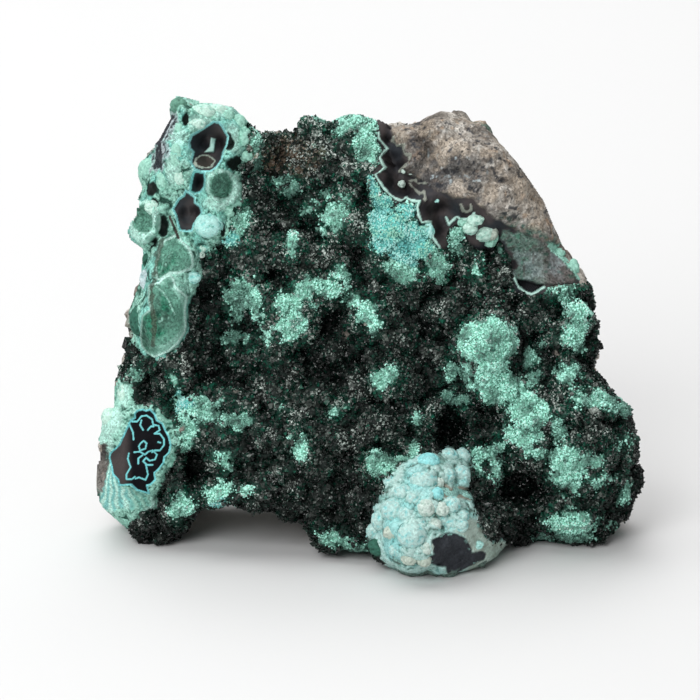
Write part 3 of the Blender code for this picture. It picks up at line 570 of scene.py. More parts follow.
LOBE_MINT = (0.28, 0.52, 0.47)
# The next colour is painted shade, for the crevice in the pale lobe.
LOBE_BEIGE_SHADE = (0.30, 0.29, 0.24)
LOBE_WHITE = (0.46, 0.66, 0.62)
LOBE_BLUE = (0.24, 0.62, 0.62)

# The next grey is partly the crystals' own tone and partly painted sheen on the crests.
CRYSTAL_GREY_SHEEN = (0.12, 0.14, 0.125)
CRYSTAL_BROWN = (0.110, 0.078, 0.055)
# Colours of painted glints: highlights painted into the base colour of a share of small cells.
PAINTED_GLINT_COLOUR = (0.58, 0.66, 0.61)
PAINTED_MINT_GLINT = (0.80, 0.95, 0.88)

# How the sheets of fine relief are laid, in millimetres
SKIN_DROP = 2.4
SHEET_BORDER = 0.8
SHEET_DROP = 1.8
SHEET_DEPTH = 12.0
FACE_EDGE_GAP = 0.4
OFF_THE_FACE = -60.0
MAP_STEP = 0.3
MAP_FILLS = 3
MAP_SMOOTHINGS = 2
# Share of small cells with a painted glint, on the highest crests of the crust.
PAINTED_GLINT_SHARE = 0.34
BROAD_PASSES = 16
BROAD_STRIDE = 4
LOWEST_GROWTH = 0.0006


def cell_value(cells, seed):
    """A repeatable value from 0 to 1 for each whole-numbered cell of space."""
    x, y, z = (cells[..., axis].astype(np.int64).astype(np.uint32) for axis in range(3))
    mixed = x * np.uint32(374761393) + y * np.uint32(668265263) + z * np.uint32(2246822519)
    mixed = mixed + np.full_like(mixed, seed) * np.uint32(3266489917)
    mixed = (mixed ^ (mixed >> np.uint32(13))) * np.uint32(1274126177)
    mixed = mixed ^ (mixed >> np.uint32(16))
    return (mixed & np.uint32(0xFFFF)) / 65535.0


def smooth_noise(points, size, seed):
    """Noise from -1 to 1: the values of the eight nearest cell corners, blended smoothly."""
    scaled = points / size
    corner = np.floor(scaled)
    part = scaled - corner
    blend = part * part * (3.0 - 2.0 * part)
    total = np.zeros(len(points))
    for step in np.ndindex(2, 2, 2):
        weight = np.prod(np.where(np.array(step) == 1, blend, 1.0 - blend), axis=1)
        total += weight * cell_value(corner + np.array(step), seed)
    return 2.0 * total - 1.0


def nearest_middle(points, size, seed):
    """Distance to the nearest of the middles scattered one to a cell, in cell sizes."""
    corner = np.floor(points / size)
    nearest = np.full(len(points), np.inf)
    for step in np.ndindex(3, 3, 3):
        cell = corner + np.array(step) - 1.0
        jitter = np.stack([cell_value(cell, seed + axis) for axis in range(3)], axis=1)
        middle = (cell + jitter) * size
        nearest = np.minimum(nearest, np.linalg.norm(points - middle, axis=1))
    return nearest / size


def lump_height(points, size, seed):
    """Lumps from 0 to 1: a round dome over one scattered middle in each cell of space."""
    nearest = nearest_middle(points, size, seed)
    return np.sqrt(np.clip(1.0 - (nearest / LUMP_REACH) ** 2, 0.0, 1.0))


def rough_noise(points, size, seed):
    """Noise of four sizes, each half as large and half as strong as the one before."""
    total = np.zeros(len(points))
    for octave in range(4):
        total += smooth_noise(points, size / 2**octave, seed + octave) / 2**octave
    return total


def smooth_step(value):
    """0 below 0, 1 above 1, and three squares less two cubes between."""
    value = np.clip(value, 0.0, 1.0)
    return value * value * (3.0 - 2.0 * value)


def oval_distance(x, v, spot):
    """Distance from the middle of an oval spot, where 1 is its edge."""
    middle_x, middle_v, half_width, half_height = spot[:4]
    return np.hypot((x - middle_x) / half_width, (v - middle_v) / half_height)


def swell(distance):
    """A soft hill: one minus the squared distance, squared again."""
    return np.clip(1.0 - distance**2, 0.0, 1.0) ** 2


def knob(distance):
    """A round dome with a steep foot: the height of half a ball."""
    return np.sqrt(np.clip(1.0 - distance**2, 0.0, 1.0))


def plateau(distance, rim=0.3):
    """A flat top that falls off smoothly over the last part of its radius."""
    return smooth_step((1.0 - distance) / rim)


def face_relief(x, v):
    """Height of the listed forms of the face, added up at each point."""
    height = np.zeros_like(x)
    for spot in SWELLS.values():
        height += spot[4] * swell(oval_distance(x, v, spot))
    for spot in KNOBS.values():
        height += spot[4] * knob(oval_distance(x, v, spot))
    for spot in SHELLS.values():
        height += spot[4] * plateau(oval_distance(x, v, spot))
    for spot in HOLLOWS.values():
        height -= spot[4] * plateau(oval_distance(x, v, spot), rim=0.6)
    return height


def arch_lift(x, v, w):
    """How far the underside is lifted between the feet, fading to nothing at its borders."""
    across = plateau(np.abs(x - ARCH_MIDDLE) / ARCH_HALF_WIDTH, rim=0.4)
    behind = np.clip((ARCH_FRONT - w) / 5.0, 0.0, 1.0)
    below = np.clip((ARCH_TOP - v) / 8.0, 0.0, 1.0)
    return ARCH_LIFT * across * behind * below


def outline_at(angle):
    """The outline and its smoothed course in each direction, as points x, v and w.

    The outline is read clockwise at even steps of its length. Its smoothed course is the
    average over a stretch of it, so that its small steps fade away from the rim.
    """
    corners = np.array(OUTLINE + OUTLINE[:1]) * (OUTLINE_WIDTH / DRAWN_WIDTH)
    steps = np.linalg.norm(np.diff(corners[:, :2], axis=0), axis=1)
    along = np.concatenate([[0.0], np.cumsum(steps)]) / steps.sum()
    place = np.arange(OUTLINE_STEPS) / OUTLINE_STEPS
    course = np.stack([np.interp(place, along, corners[:, axis]) for axis in range(3)], axis=1)
    stretch = range(-SMOOTH_STEPS, SMOOTH_STEPS + 1)
    smooth = np.mean([np.roll(course, step, axis=0) for step in stretch], axis=0)
    start = math.atan2(corners[0, 1], corners[0, 0])
    turned = ((start - angle) / (2.0 * math.pi)) % 1.0
    rims = []
    for curve in (course, smooth):
        rims.append([np.interp(turned, place, curve[:, axis], period=1.0) for axis in range(3)])
    return np.array(rims[0]), np.array(rims[1])


def profile(turn, squareness, swell_height):
    """A quarter of a rounded box: its reach outwards and its height, at even steps along it.

    The reach to the power of the squareness and the height to the same power add up to 1.
    """
    typical_radius = 0.45 * OUTLINE_WIDTH
    quarter = np.linspace(0.0, 0.5 * math.pi, 400)
    reach = np.sin(quarter) ** (2.0 / squareness)
    height = np.cos(quarter) ** (2.0 / squareness)
    steps = np.hypot(np.diff(reach * typical_radius), np.diff(height * swell_height))
    along = np.concatenate([[0.0], np.cumsum(steps)])
    along = along / along[-1]
    return np.interp(turn, along, reach), np.interp(turn, along, height)


def stone_points(directions):
    """The skin of the stone, one point for each direction from its middle, in the face frame.

    The turn from the face's middle to the back's middle runs along a rounded-box profile,
    stretched to the outline. The rim's depth fades towards the middle, the listed forms
    are added to the face, broken faces cut the back, and noise roughens the whole. Also
    returned are the outward direction and how far each point lies behind the rim.
    """
    angle = np.arctan2(directions[:, 1], directions[:, 0])
    turn = np.arccos(np.clip(directions[:, 2], -1.0, 1.0)) / math.pi
    front = turn <= FACE_SHARE
    outline, smooth = outline_at(angle)
    front_turn = np.clip(turn / FACE_SHARE, 0.0, 1.0)
    back_turn = np.clip((1.0 - turn) / (1.0 - FACE_SHARE), 0.0, 1.0)
    front_reach, front_height = profile(front_turn, FRONT_SQUARENESS, FRONT_SWELL)
    back_reach, back_height = profile(back_turn, BACK_SQUARENESS, BACK_SWELL)
    reach = np.where(front, front_reach, back_reach)
    height = np.where(front, front_height, back_height)
    squareness = np.where(front, FRONT_SQUARENESS, BACK_SQUARENESS)
    depth = np.where(front, FRONT_SWELL, BACK_SWELL)
    side = np.where(front, 1.0, -1.0)
    rim = smooth + (outline - smooth) * reach**STEP_FADE

    x = reach * rim[0]
    v = reach * rim[1]
    w = rim[2] * reach**2 + side * depth * height
    w = w + np.where(front, face_relief(x, v) * np.clip(3.0 * height, 0.0, 1.0), 0.0)
    points = np.stack([x, v + arch_lift(x, v, w), w], axis=1)

    radius = np.hypot(smooth[0], smooth[1])
    outward = reach ** (squareness - 1.0) / radius**2
    across = side * height ** (squareness - 1.0) / depth
    normal = np.stack([outward * smooth[0], outward * smooth[1], across], axis=1)
    normal /= np.linalg.norm(normal, axis=1, keepdims=True)

    back = np.clip(-side * 2.0 * height, 0.0, 1.0)
    for facing, distance in BACK_BREAKS:
        beyond = np.clip(points @ np.array(facing) - distance, 0.0, None)
        points = points - (beyond * back)[:, None] * np.array(facing)

    lumps = np.where(front, ROUGHNESS_LUMPS, 0.5 * ROUGHNESS_LUMPS)
    rough = ROUGHNESS_LARGE * smooth_noise(points, UNEVEN_SIZE, seed=11)
    rough += lumps * (lump_height(points, LUMP_SIZE, seed=23) - 0.7)
    behind = np.where(front, 0.0, BACK_SWELL * back_height)
    return points + rough[:, None] * normal, normal, behind


def stand_up(points):
    """Leans the face back and moves the stone over the origin, from millimetres to metres."""
    x, v, w = points.T
    upright = np.stack(
        [
            x + SHIFT_X,
            v * math.sin(FACE_LEAN) - w * math.cos(FACE_LEAN) + SHIFT_Y,
            v * math.cos(FACE_LEAN) + w * math.sin(FACE_LEAN) + FACE_HEIGHT,
        ],
        axis=1,
    )
    return upright * METRES_PER_MM


def cube_ball(count):
    """A closed grid over a ball: six square grids on a cube, bent so that their steps are even.

    Each side's two parameters run from -1 to 1, and the tangent of a quarter turn times each
    gives its place. Shared edges are found by their whole-numbered place on the cube.
    """
    steps = np.arange(count + 1)
    first, second = np.meshgrid(steps, steps, indexing="ij")
    quads = []
    for axis in range(3):
        for level in (0, count):
            lattice = np.zeros((count + 1, count + 1, 3), dtype=np.int64)
            lattice[..., axis] = level
            lattice[..., (axis + 1) % 3] = first
            lattice[..., (axis + 2) % 3] = second
            key = lattice @ np.array([1, count + 1, (count + 1) ** 2])
            sides = [key[:-1, :-1], key[1:, :-1], key[1:, 1:], key[:-1, 1:]]
            if level == 0:
                sides.reverse()
            quads.append(np.stack(sides, axis=-1).reshape(-1, 4))
    keys, corners = np.unique(np.concatenate(quads), return_inverse=True)
    lattice = np.stack(
        [keys % (count + 1), keys // (count + 1) % (count + 1), keys // (count + 1) ** 2], axis=1
    )
    bent = np.tan(0.25 * math.pi * (2.0 * lattice / count - 1.0))
    directions = bent / np.linalg.norm(bent, axis=1, keepdims=True)
    return directions, corners.reshape(-1, 4)


def face_normals(points, faces):
    """Unit normal and area of each face, from its diagonals or its first two sides."""
    if faces.shape[1] == 4:
        one = points[faces[:, 2]] - points[faces[:, 0]]
        two = points[faces[:, 3]] - points[faces[:, 1]]
    else:
        one = points[faces[:, 1]] - points[faces[:, 0]]
        two = points[faces[:, 2]] - points[faces[:, 0]]
    cross = np.cross(one, two)
    length = np.linalg.norm(cross, axis=1)
    return cross / np.maximum(length, 1e-12)[:, None], 0.5 * length


def corner_normals(points, faces):
    """Unit normal at each corner: the sum of its faces' normals, weighted by their areas."""
    normals, areas = face_normals(points, faces)
    total = np.zeros_like(points)
    for corner in range(faces.shape[1]):
        np.add.at(total, faces[:, corner], normals * areas[:, None])
    return total / np.maximum(np.linalg.norm(total, axis=1), 1e-12)[:, None]


def line_gap(x, v, path):
    """Distance from each point to a path of straight lines: the least to any of its lines."""
    nearest = np.full(x.shape, np.inf)
    for (ax, av), (bx, bv) in zip(path[:-1], path[1:]):
        length = (bx - ax) ** 2 + (bv - av) ** 2
        along = np.clip(((x - ax) * (bx - ax) + (v - av) * (bv - av)) / length, 0.0, 1.0)
        nearest = np.minimum(nearest, np.hypot(x - ax - along * (bx - ax), v - av - along * (bv - av)))
    return nearest


def inside(x, v, corners):
    """Distance to the border of a many-sided zone, above 0 inside it and below 0 outside.

    A point is inside where a line to its right crosses an odd number of sides.
    """
    ring = corners + corners[:1]
    odd = np.zeros(x.shape, dtype=bool)
    for (ax, av), (bx, bv) in zip(ring[:-1], ring[1:]):
        if av != bv:
            odd ^= ((av > v) != (bv > v)) & (x < (bx - ax) * (v - av) / (bv - av) + ax)
    gap = line_gap(x, v, ring)
    return np.where(odd, gap, -gap)


def spot_depth(x, v, spots):
    """How far inside the deepest of some oval spots each point is, below 0 outside them."""
    depth = np.full(len(x), -np.inf)
    for spot in spots:
        depth = np.maximum(depth, (1.0 - oval_distance(x, v, spot)) * min(spot[2], spot[3]))
    return depth


def edge(depth, softness):
    """0 well outside a zone and 1 well inside it, fading over the softness at its border."""
    return smooth_step(0.5 + depth / softness)


def blend(base, colour, amount):
    """Base mixed towards colour by amount, row by row."""
    return base + (np.asarray(colour) - base) * amount[:, None]


def flat_tint(colour, count):
    """The same colour in each of count rows."""
    return np.tile(np.array(colour, dtype=float), (count, 1))


def ragged_inside(x, v, corners):
    """How deep each place lies inside a closed line whose course is broken up by noise."""
    places = np.stack([x, v, np.zeros(len(x))], axis=1)
    return inside(x, v, corners) + 0.45 * rough_noise(places, 1.5, seed=389)


def face_outline():
    """The stone's outline seen square on its face, as corners x and v."""
    return tuple((corner[0], corner[1]) for corner in OUTLINE)


def rock_tint(points, size=0.8):
    """Colour of the matrix: brown grey in soft patches, with pale, dark and rusty grains."""
    broad = 0.5 + 0.5 * rough_noise(points, 5.0, seed=157)
    grain = rough_noise(points, size, seed=139)
    tint = blend(flat_tint(ROCK_MIDDLE, len(points)), ROCK_DARK, 0.8 * smooth_step(1.1 - 2.0 * broad))
    tint = blend(tint, ROCK_LIGHT, 0.8 * smooth_step(0.6 * grain + 1.2 * broad - 0.4))
    tint = blend(tint, ROCK_DARK, 0.75 * smooth_step(-1.6 * grain - 0.7))
    rust = smooth_step((smooth_noise(points, size, seed=163) - 0.5) / 0.2)
    return blend(tint, ROCK_RUST, 0.45 * rust * smooth_step(1.5 * broad))


def mint_tint(points):
    """Colour of mint crust: pale grains over a middle green, with dark gaps."""
    broad = 0.5 + 0.5 * rough_noise(points, 3.0, seed=167)
    grain = smooth_noise(points, 0.36, seed=173)
    tint = blend(flat_tint(MINT_MIDDLE, len(points)), MINT_LIGHT, smooth_step(0.9 * grain + broad))
    return blend(tint, MINT_DARK, smooth_step(-2.2 * grain - 0.5))


class Zones:
    """How much of each mineral there is at each point, from 0 to 1."""

    def __init__(self, points, behind):
        """Points in the face frame and how far each lies behind the rim, in millimetres."""
        warp = [rough_noise(points, 3.2, seed=31), rough_noise(points, 3.2, seed=47)]
        plain_x, plain_v = points[:, 0], points[:, 1]
        x = plain_x + 0.9 * warp[0]
        v = plain_v + 0.9 * warp[1]
        fine = rough_noise(points, 1.4, seed=61)
        front = 1.0 - smooth_step((behind - 5.0 - 4.5 * warp[0] - 1.2 * fine) / 0.8)
        self.front = front
        self.lobe = edge(inside(plain_x, plain_v, PALE_LOBE) + 0.4 * fine, 0.8) * front
        self.black = edge(inside(plain_x, plain_v, BLACK_INCLUSION), 0.4) * front
        self.margin = edge(inside(plain_x, plain_v, LEFT_MARGIN) + 0.3 * fine, 0.6) * front
        self.foot = edge(inside(plain_x, plain_v, LEFT_FOOT_CRUST) + 0.3 * fine, 0.6) * front
        self.upper_right = edge(inside(plain_x, plain_v, UPPER_RIGHT) + 0.2 * fine, 0.6) * front
        self.sheets = np.maximum.reduce([self.margin, self.foot, self.upper_right])
        zones = (LEFT_MARGIN, LEFT_FOOT_CRUST, UPPER_RIGHT)
        depth = np.maximum.reduce([ragged_inside(plain_x, plain_v, zone) for zone in zones])
        depth = np.minimum(depth, inside(plain_x, plain_v, face_outline()) - FACE_EDGE_GAP)
        self.under_sheets = smooth_step((depth - 0.3) / 0.9) * (behind <= 0.0)
        right_side = np.minimum(inside(plain_x, plain_v, UPPER_RIGHT), plain_x - SHELF_EDGE[0][0])
        depth = np.maximum(inside(plain_x, plain_v, MATRIX), right_side)
        self.matrix = edge(depth, 0.6) * front
        self.rock = np.maximum(self.matrix, 1.0 - front)
        free = (1.0 - self.lobe) * (1.0 - self.sheets) * front
        mint_depth = spot_depth(x, v, sum(MINT_SPOTS.values(), ()))
        blue_depth = spot_depth(x, v, sum(BLUE_SPOTS.values(), ()))
        self.mint = edge(mint_depth + 0.75 * fine - 0.1, 0.5) * free
        self.blue = edge(blue_depth + 0.6 * fine, 0.5) * free
        self.halo = smooth_step(1.0 + np.maximum(mint_depth, blue_depth) / 2.2) * free
        covered = np.maximum.reduce([self.mint, self.blue, self.lobe, self.sheets, self.rock])
        self.druse = np.clip(1.0 - covered, 0.0, 1.0)


def skin_details(points, zones):
    """Fine relief of each mineral, in millimetres along the outward direction.

    Crust has two sizes of lumps, growths stand out from it, rock has rough noise with pits,
    and the skin lies low under the sheets that carry their own relief.
    """
    coarse = lump_height(points, 3.4, seed=71) - 0.7
    middle = lump_height(points, 1.6, seed=83) - 0.7
    rough = rough_noise(points, 2.6, seed=101)
    pits = smooth_step((-0.7 - rough_noise(points, 3.4, seed=113)) / 0.3)
    growth = np.maximum(zones.mint, zones.blue)
    height = zones.druse * (1.9 * coarse + 0.9 * middle)
    height += growth * (0.5 + 1.0 * coarse + 0.5 * middle)
    height += zones.lobe * (0.9 * middle - 0.2)
    blocks = lump_height(points, 6.0, seed=431) - 0.6
    zones.high = np.clip(0.5 + 0.7 * rough + 0.6 * blocks - pits, 0.0, 1.0)
    ridges = 0.5 * rough_noise(points, 1.9, seed=383)
    level = 1.0 * rough + 0.7 * blocks + 1.2 * ridges - 0.9 * pits
    height += zones.rock * (1.0 - zones.sheets) * level
    height += zones.sheets * (0.2 * rough - 0.5)
    zones.lumps = 0.6 * coarse + 0.4 * middle
    return height - SKIN_DROP * zones.under_sheets


def skin_tint(points, zones, crest):
    """Colour of the stone's skin at each point, as linear red, green and blue, with painted shade where it lies
    low.
    """
    count = len(points)
    broad = 0.5 + 0.5 * rough_noise(points, 5.0, seed=131)
    tint = blend(flat_tint(DRUSE_BLACK, count), DRUSE_GREEN, smooth_step(1.1 * broad - 0.5) * 0.6)
    # Painted shade: the crust is darker the lower it lies in its hollows.
    tint = blend(tint, DRUSE_GREEN, 0.8 * zones.halo) * (0.3 + 0.7 * crest)[:, None]
    # Painted shade: the rock is darker on its low parts and in its pits.
    rock = rock_tint(points, 2.4) * (0.75 + 0.35 * zones.high)[:, None]
    behind = 1.0 - zones.front
    fine = rough_noise(points, 2.0, seed=379)
    stain = rough_noise(points, 7.0, seed=149) + 0.8 * fine - 0.3 * zones.high
    rock = blend(rock, STAIN_GREEN, 0.8 * smooth_step((stain - 0.1) / 0.5) * behind)
    rock = blend(rock, MINT_DARK, 0.8 * smooth_step((stain - 0.6) / 0.4) * behind)
    rock = blend(rock, MINT_MIDDLE, 0.7 * smooth_step((stain - 1.05) / 0.25) * behind)
    tint = tint + (rock - tint) * zones.rock[:, None]
    shade = (0.45 + 0.7 * crest)[:, None]
    tint = tint + (np.array(MINT_UNDER) * shade - tint) * zones.mint[:, None]
    tint = tint + (np.array(BLUE_UNDER) * shade - tint) * zones.blue[:, None]
    crust = np.maximum(zones.margin, zones.foot)
    tint = tint + (mint_tint(points) - tint) * crust[:, None]
    # Painted shade in the lobe's gaps, grading to its own pale colour where the crest is high.
    lobe = blend(flat_tint(LOBE_GAP_SHADE, count), LOBE_MINT, smooth_step(1.6 * crest - 0.3))
    tint = tint + (lobe - tint) * zones.lobe[:, None]
    return blend(tint, CAST_DARK, zones.black)


def attribute(mesh, name, values):
    """Stores one number, or one colour, for each corner of the mesh."""
    values = np.asarray(values, dtype=np.float32)
    if values.ndim == 1:
        layer = mesh.attributes.new(name, "FLOAT", "POINT")
        layer.data.foreach_set("value", values)
    else:
        layer = mesh.attributes.new(name, "FLOAT_COLOR", "POINT")
        opaque = np.concatenate([values, np.ones((len(values), 1), np.float32)], axis=1)
        layer.data.foreach_set("color", opaque.ravel())


def new_piece(name, points, faces, materials, smooth=False, slots=None):
    """Puts face-frame points and their faces into a mesh that stands with the stone."""
    places = stand_up(points)
    places[:, 2] = np.maximum(places[:, 2], 0.0)
    mesh = bpy.data.meshes.new(name)
    mesh.vertices.add(len(places))
    mesh.vertices.foreach_set("co", places.astype(np.float32).ravel())
    mesh.loops.add(faces.size)
    mesh.loops.foreach_set("vertex_index", faces.astype(np.int32).ravel())
    mesh.polygons.add(len(faces))
    starts = np.arange(0, faces.size, faces.shape[1], dtype=np.int32)
    mesh.polygons.foreach_set("loop_start", starts)
    for material in materials:
        mesh.materials.append(material)
    mesh.polygons.foreach_set("use_smooth", np.full(len(faces), smooth))
    if slots is not None:
        mesh.polygons.foreach_set("material_index", slots.astype(np.int32))
    mesh.update(calc_edges=True)
    if mesh.validate():
        raise RuntimeError(f"{name} has faces that share no area")
    piece = bpy.data.objects.new(name, mesh)
    bpy.context.scene.collection.objects.link(piece)
    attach(piece, BODY_NAME)
    return piece


class Stone:
    """The finished skin of the stone, kept so that every growth can be set on it."""

    def __init__(self, count):
        """Works out the skin on a grid of count steps along each side of a cube."""
        directions, self.faces = cube_ball(count)
        plain, outward, behind = stone_points(directions)
        self.zones = Zones(plain, behind)
        self.points = plain + skin_details(plain, self.zones)[:, None] * outward
        self.normals = corner_normals(self.points, self.faces)
        self.map_front(plain[behind <= 0.0])
        above = plain[:, 2] - self.front(plain[:, 0], plain[:, 1], self.map_broad)
        above = np.where(behind <= 0.0, above, 0.0)
        # crest: how high each point stands over the broad face and on its lumps; the colours darken low points
        # with it as painted shade and put painted glints on high ones.
        self.crest = smooth_step(0.55 + 0.16 * above + 1.1 * self.zones.lumps)
        self.tint = skin_tint(self.points, self.zones, self.crest)
        # Painted glints: a share of small cells, more on the crests and in clusters, painted bright.
        clusters = smooth_step(0.45 + 0.9 * rough_noise(plain, 2.0, seed=311))
        self.painted_glints = PAINTED_GLINT_SHARE * self.crest * clusters

    def map_front(self, points):
        """Keeps the face's height w on an even grid of x and v: the highest point of each cell.

        Cells that no point fell in take the mean of their neighbours, and all are smoothed.
        """
        self.map_low = points[:, :2].min(axis=0) - 1.0
        size = np.ceil((points[:, :2].max(axis=0) + 1.0 - self.map_low) / MAP_STEP).astype(int) + 1
        cells = np.round((points[:, :2] - self.map_low) / MAP_STEP).astype(int)
        heights = np.full(size, -np.inf)
        np.maximum.at(heights, (cells[:, 0], cells[:, 1]), points[:, 2])
        known = np.isfinite(heights)
        heights = np.where(known, heights, 0.0)
        for pass_number in range(MAP_FILLS + MAP_SMOOTHINGS):
            total = np.zeros(size)
            count = np.zeros(size)
            for step in np.ndindex(3, 3):
                shift = (step[0] - 1, step[1] - 1)
                total += np.roll(np.where(known, heights, 0.0), shift, axis=(0, 1))
                count += np.roll(known, shift, axis=(0, 1))
            mean = total / np.maximum(count, 1.0)
            if pass_number < MAP_FILLS:
                heights = np.where(known, heights, mean)
                known = known | (count > 2.5)
            else:
                heights = np.where(known, mean, heights)
        self.map_heights = np.where(known, heights, OFF_THE_FACE)
        self.map_broad = np.where(known, heights, 0.0)
        for _ in range(BROAD_PASSES):
            total = np.zeros(size)
            count = np.zeros(size)
            for step in np.ndindex(3, 3):
                shift = (BROAD_STRIDE * (step[0] - 1), BROAD_STRIDE * (step[1] - 1))
                total += np.roll(self.map_broad * known, shift, axis=(0, 1))
                count += np.roll(known, shift, axis=(0, 1))
            self.map_broad = total / np.maximum(count, 1.0)

    def front(self, x, v, heights=None):
        """The face's height w at any x and v, blended between the nearest known map cells."""
        heights = self.map_heights if heights is None else heights
        place = (np.stack([x, v], axis=-1) - self.map_low) / MAP_STEP
        place = np.clip(place, 0.0, np.array(self.map_heights.shape) - 1.001)
        cell = np.floor(place).astype(int)
        part = place - cell
        total = np.zeros(x.shape)
        share = np.zeros(x.shape)
        for step in np.ndindex(2, 2):
            weight = np.abs(1.0 - step[0] - part[..., 0]) * np.abs(1.0 - step[1] - part[..., 1])
            height = heights[cell[..., 0] + step[0], cell[..., 1] + step[1]]
            weight = weight * (height > 0.5 * OFF_THE_FACE)
            total += weight * height
            share += weight
        return np.where(share > 0.0, total / np.maximum(share, 1e-9), OFF_THE_FACE)

    def scatter(self, count, weight, seed):
        """Random places on the skin, as many as count, denser where the weight is higher.

        Returns each place, the outward direction there and the number of its nearest corner.
        """
        picker = np.random.default_rng(seed)
        _, areas = face_normals(self.points, self.faces)
        chance = areas * weight[self.faces].mean(axis=1)
        above = stand_up(self.points)[self.faces].mean(axis=1)[:, 2] > LOWEST_GROWTH
        chance = chance * above
        picked = picker.choice(len(self.faces), size=count, p=chance / chance.sum())
        share = picker.random((count, 2))
        corner = self.points[self.faces[picked]]
        low = corner[:, 0] + share[:, :1] * (corner[:, 1] - corner[:, 0])
        high = corner[:, 3] + share[:, :1] * (corner[:, 2] - corner[:, 3])
        places = low + share[:, 1:] * (high - low)
        return places, self.normals[self.faces[picked, 0]], self.faces[picked, 0]


class Sheet:
    """A closed sheet of fine relief over one zone of the face, with its own colours.

    It is a grid in x and v whose height is the face's, plus a lift, plus the relief. Its
    border bends back into the stone, where a single deep corner closes it.
    """

    def __init__(self, zone, step, lift):
        """Lays the grid over the zone, a little beyond its border."""
        corners = np.array(zone)
        low = corners.min(axis=0) - SHEET_BORDER
        high = corners.max(axis=0) + SHEET_BORDER
        columns = np.arange(low[0], high[0], step)
        rows = np.arange(low[1], high[1], step)
        self.shape = (len(columns), len(rows))
        across, up = np.meshgrid(columns, rows, indexing="ij")
        self.x, self.v = across.ravel(), up.ravel()
        within = inside(self.x, self.v, face_outline()) - FACE_EDGE_GAP
        self.depth = np.minimum(ragged_inside(self.x, self.v, zone), within)
        self.base = stone().front(self.x, self.v)
        self.height = lift * edge(self.depth - 0.2, 0.8)
        self.places = np.stack([self.x, self.v, self.base], axis=1)
        self.tint = flat_tint(MINT_MIDDLE, len(self.x))
        self.gloss = np.full(len(self.x), 0.8)

    def paint(self, amount, colour, gloss=None):
        """Mixes a colour, or one colour for each point, in by the amount."""
        self.tint = self.tint + (np.asarray(colour) - self.tint) * amount[:, None]
        if gloss is not None:
            self.gloss = self.gloss + (gloss - self.gloss) * amount

    def line(self, path, width, rise, colour, ragged=0.0, strength=1.0):
        """Draws a raised, rounded line along a path; noise can make its edges ragged."""
        gap = line_gap(self.x, self.v, path) + ragged * rough_noise(self.places, 0.9, seed=409)
        crest = np.clip(1.0 - (np.maximum(gap, 0.0) / width) ** 2, 0.0, 1.0)
        self.height += rise * crest
        self.paint(strength * smooth_step(2.0 * crest), colour)

    def hollow(self, spot, colour, soft=False):
        """Sinks a wavy bowl and darkens it towards its middle; a soft one has no edge."""
        reach = 0.3 * min(spot[2], spot[3])
        x = self.x + reach * rough_noise(self.places, 1.3, seed=359)
        v = self.v + reach * rough_noise(self.places, 1.3, seed=367)
        distance = oval_distance(x, v, spot)
        bowl = swell(0.8 * distance) if soft else knob(distance)
        self.height -= spot[4] * bowl
        self.paint(0.85 * bowl if soft else smooth_step(1.6 * bowl), colour, gloss=0.6)

    def finish(self, name, material):
        """Keeps the squares in or near the zone, closes the sheet and makes its mesh."""
        fade = smooth_step((self.depth + SHEET_BORDER) / SHEET_BORDER)
        w = self.base + self.height * fade - SHEET_DROP * (1.0 - fade)
        points = np.stack([self.x, self.v, w], axis=1)
        keep = (self.depth > -SHEET_BORDER) & (self.base > OFF_THE_FACE / 2.0)
        number = np.arange(len(points)).reshape(self.shape)
        squares = np.stack(
            [number[:-1, :-1], number[1:, :-1], number[1:, 1:], number[:-1, 1:]], axis=-1
        ).reshape(-1, 4)
        squares = squares[keep[squares].all(axis=1)]
        edges = np.concatenate([squares[:, [side, (side + 1) % 4]] for side in range(4)])
        total = len(points)
        there = edges[:, 0] * total + edges[:, 1]
        back = edges[:, 1] * total + edges[:, 0]
        border = edges[~np.isin(there, back)]
        middle = points[np.unique(squares)].mean(axis=0) - np.array([0.0, 0.0, SHEET_DEPTH])
        points = np.concatenate([points, middle[None]])
        closing = np.stack([border[:, 1], border[:, 0], np.full(len(border), total)], axis=1)
        faces = np.concatenate([squares[:, [0, 1, 2]], squares[:, [0, 2, 3]], closing])
        used, faces = np.unique(faces, return_inverse=True)
        piece = new_piece(name, points[used], faces.reshape(-1, 3), [material], smooth=True)
        tint = np.concatenate([self.tint, self.tint[:1]])[used]
        gloss = np.concatenate([self.gloss, self.gloss[:1]])[used]
        dress(piece, tint, gloss, grit=smooth_step((gloss - 0.55) / 0.2))
        return piece


def turned_frames(normals, tilt, picker):
    """Three axes for each normal: the last leans off it by up to tilt, turned at random."""
    count = len(normals)
    lean = picker.normal(size=(count, 3)) * tilt
    last = normals + lean
    last /= np.linalg.norm(last, axis=1, keepdims=True)
    side = np.cross(last, picker.normal(size=(count, 3)))
    side /= np.linalg.norm(side, axis=1, keepdims=True)
    return np.stack([side, np.cross(last, side), last], axis=1)


def joined_copies(shape, faces, places, frames, sizes):
    """Copies of a small shape as one mesh: size, turn and move it for each place."""
    grown = shape[None] * sizes[:, None, :]
    turned = np.einsum("nkc,ncd->nkd", grown, frames) + places[:, None, :]
    offsets = np.arange(len(places)) * len(shape)
    all_faces = faces[None] + offsets[:, None, None]
    return turned.reshape(-1, 3), all_faces.reshape(-1, faces.shape[1])


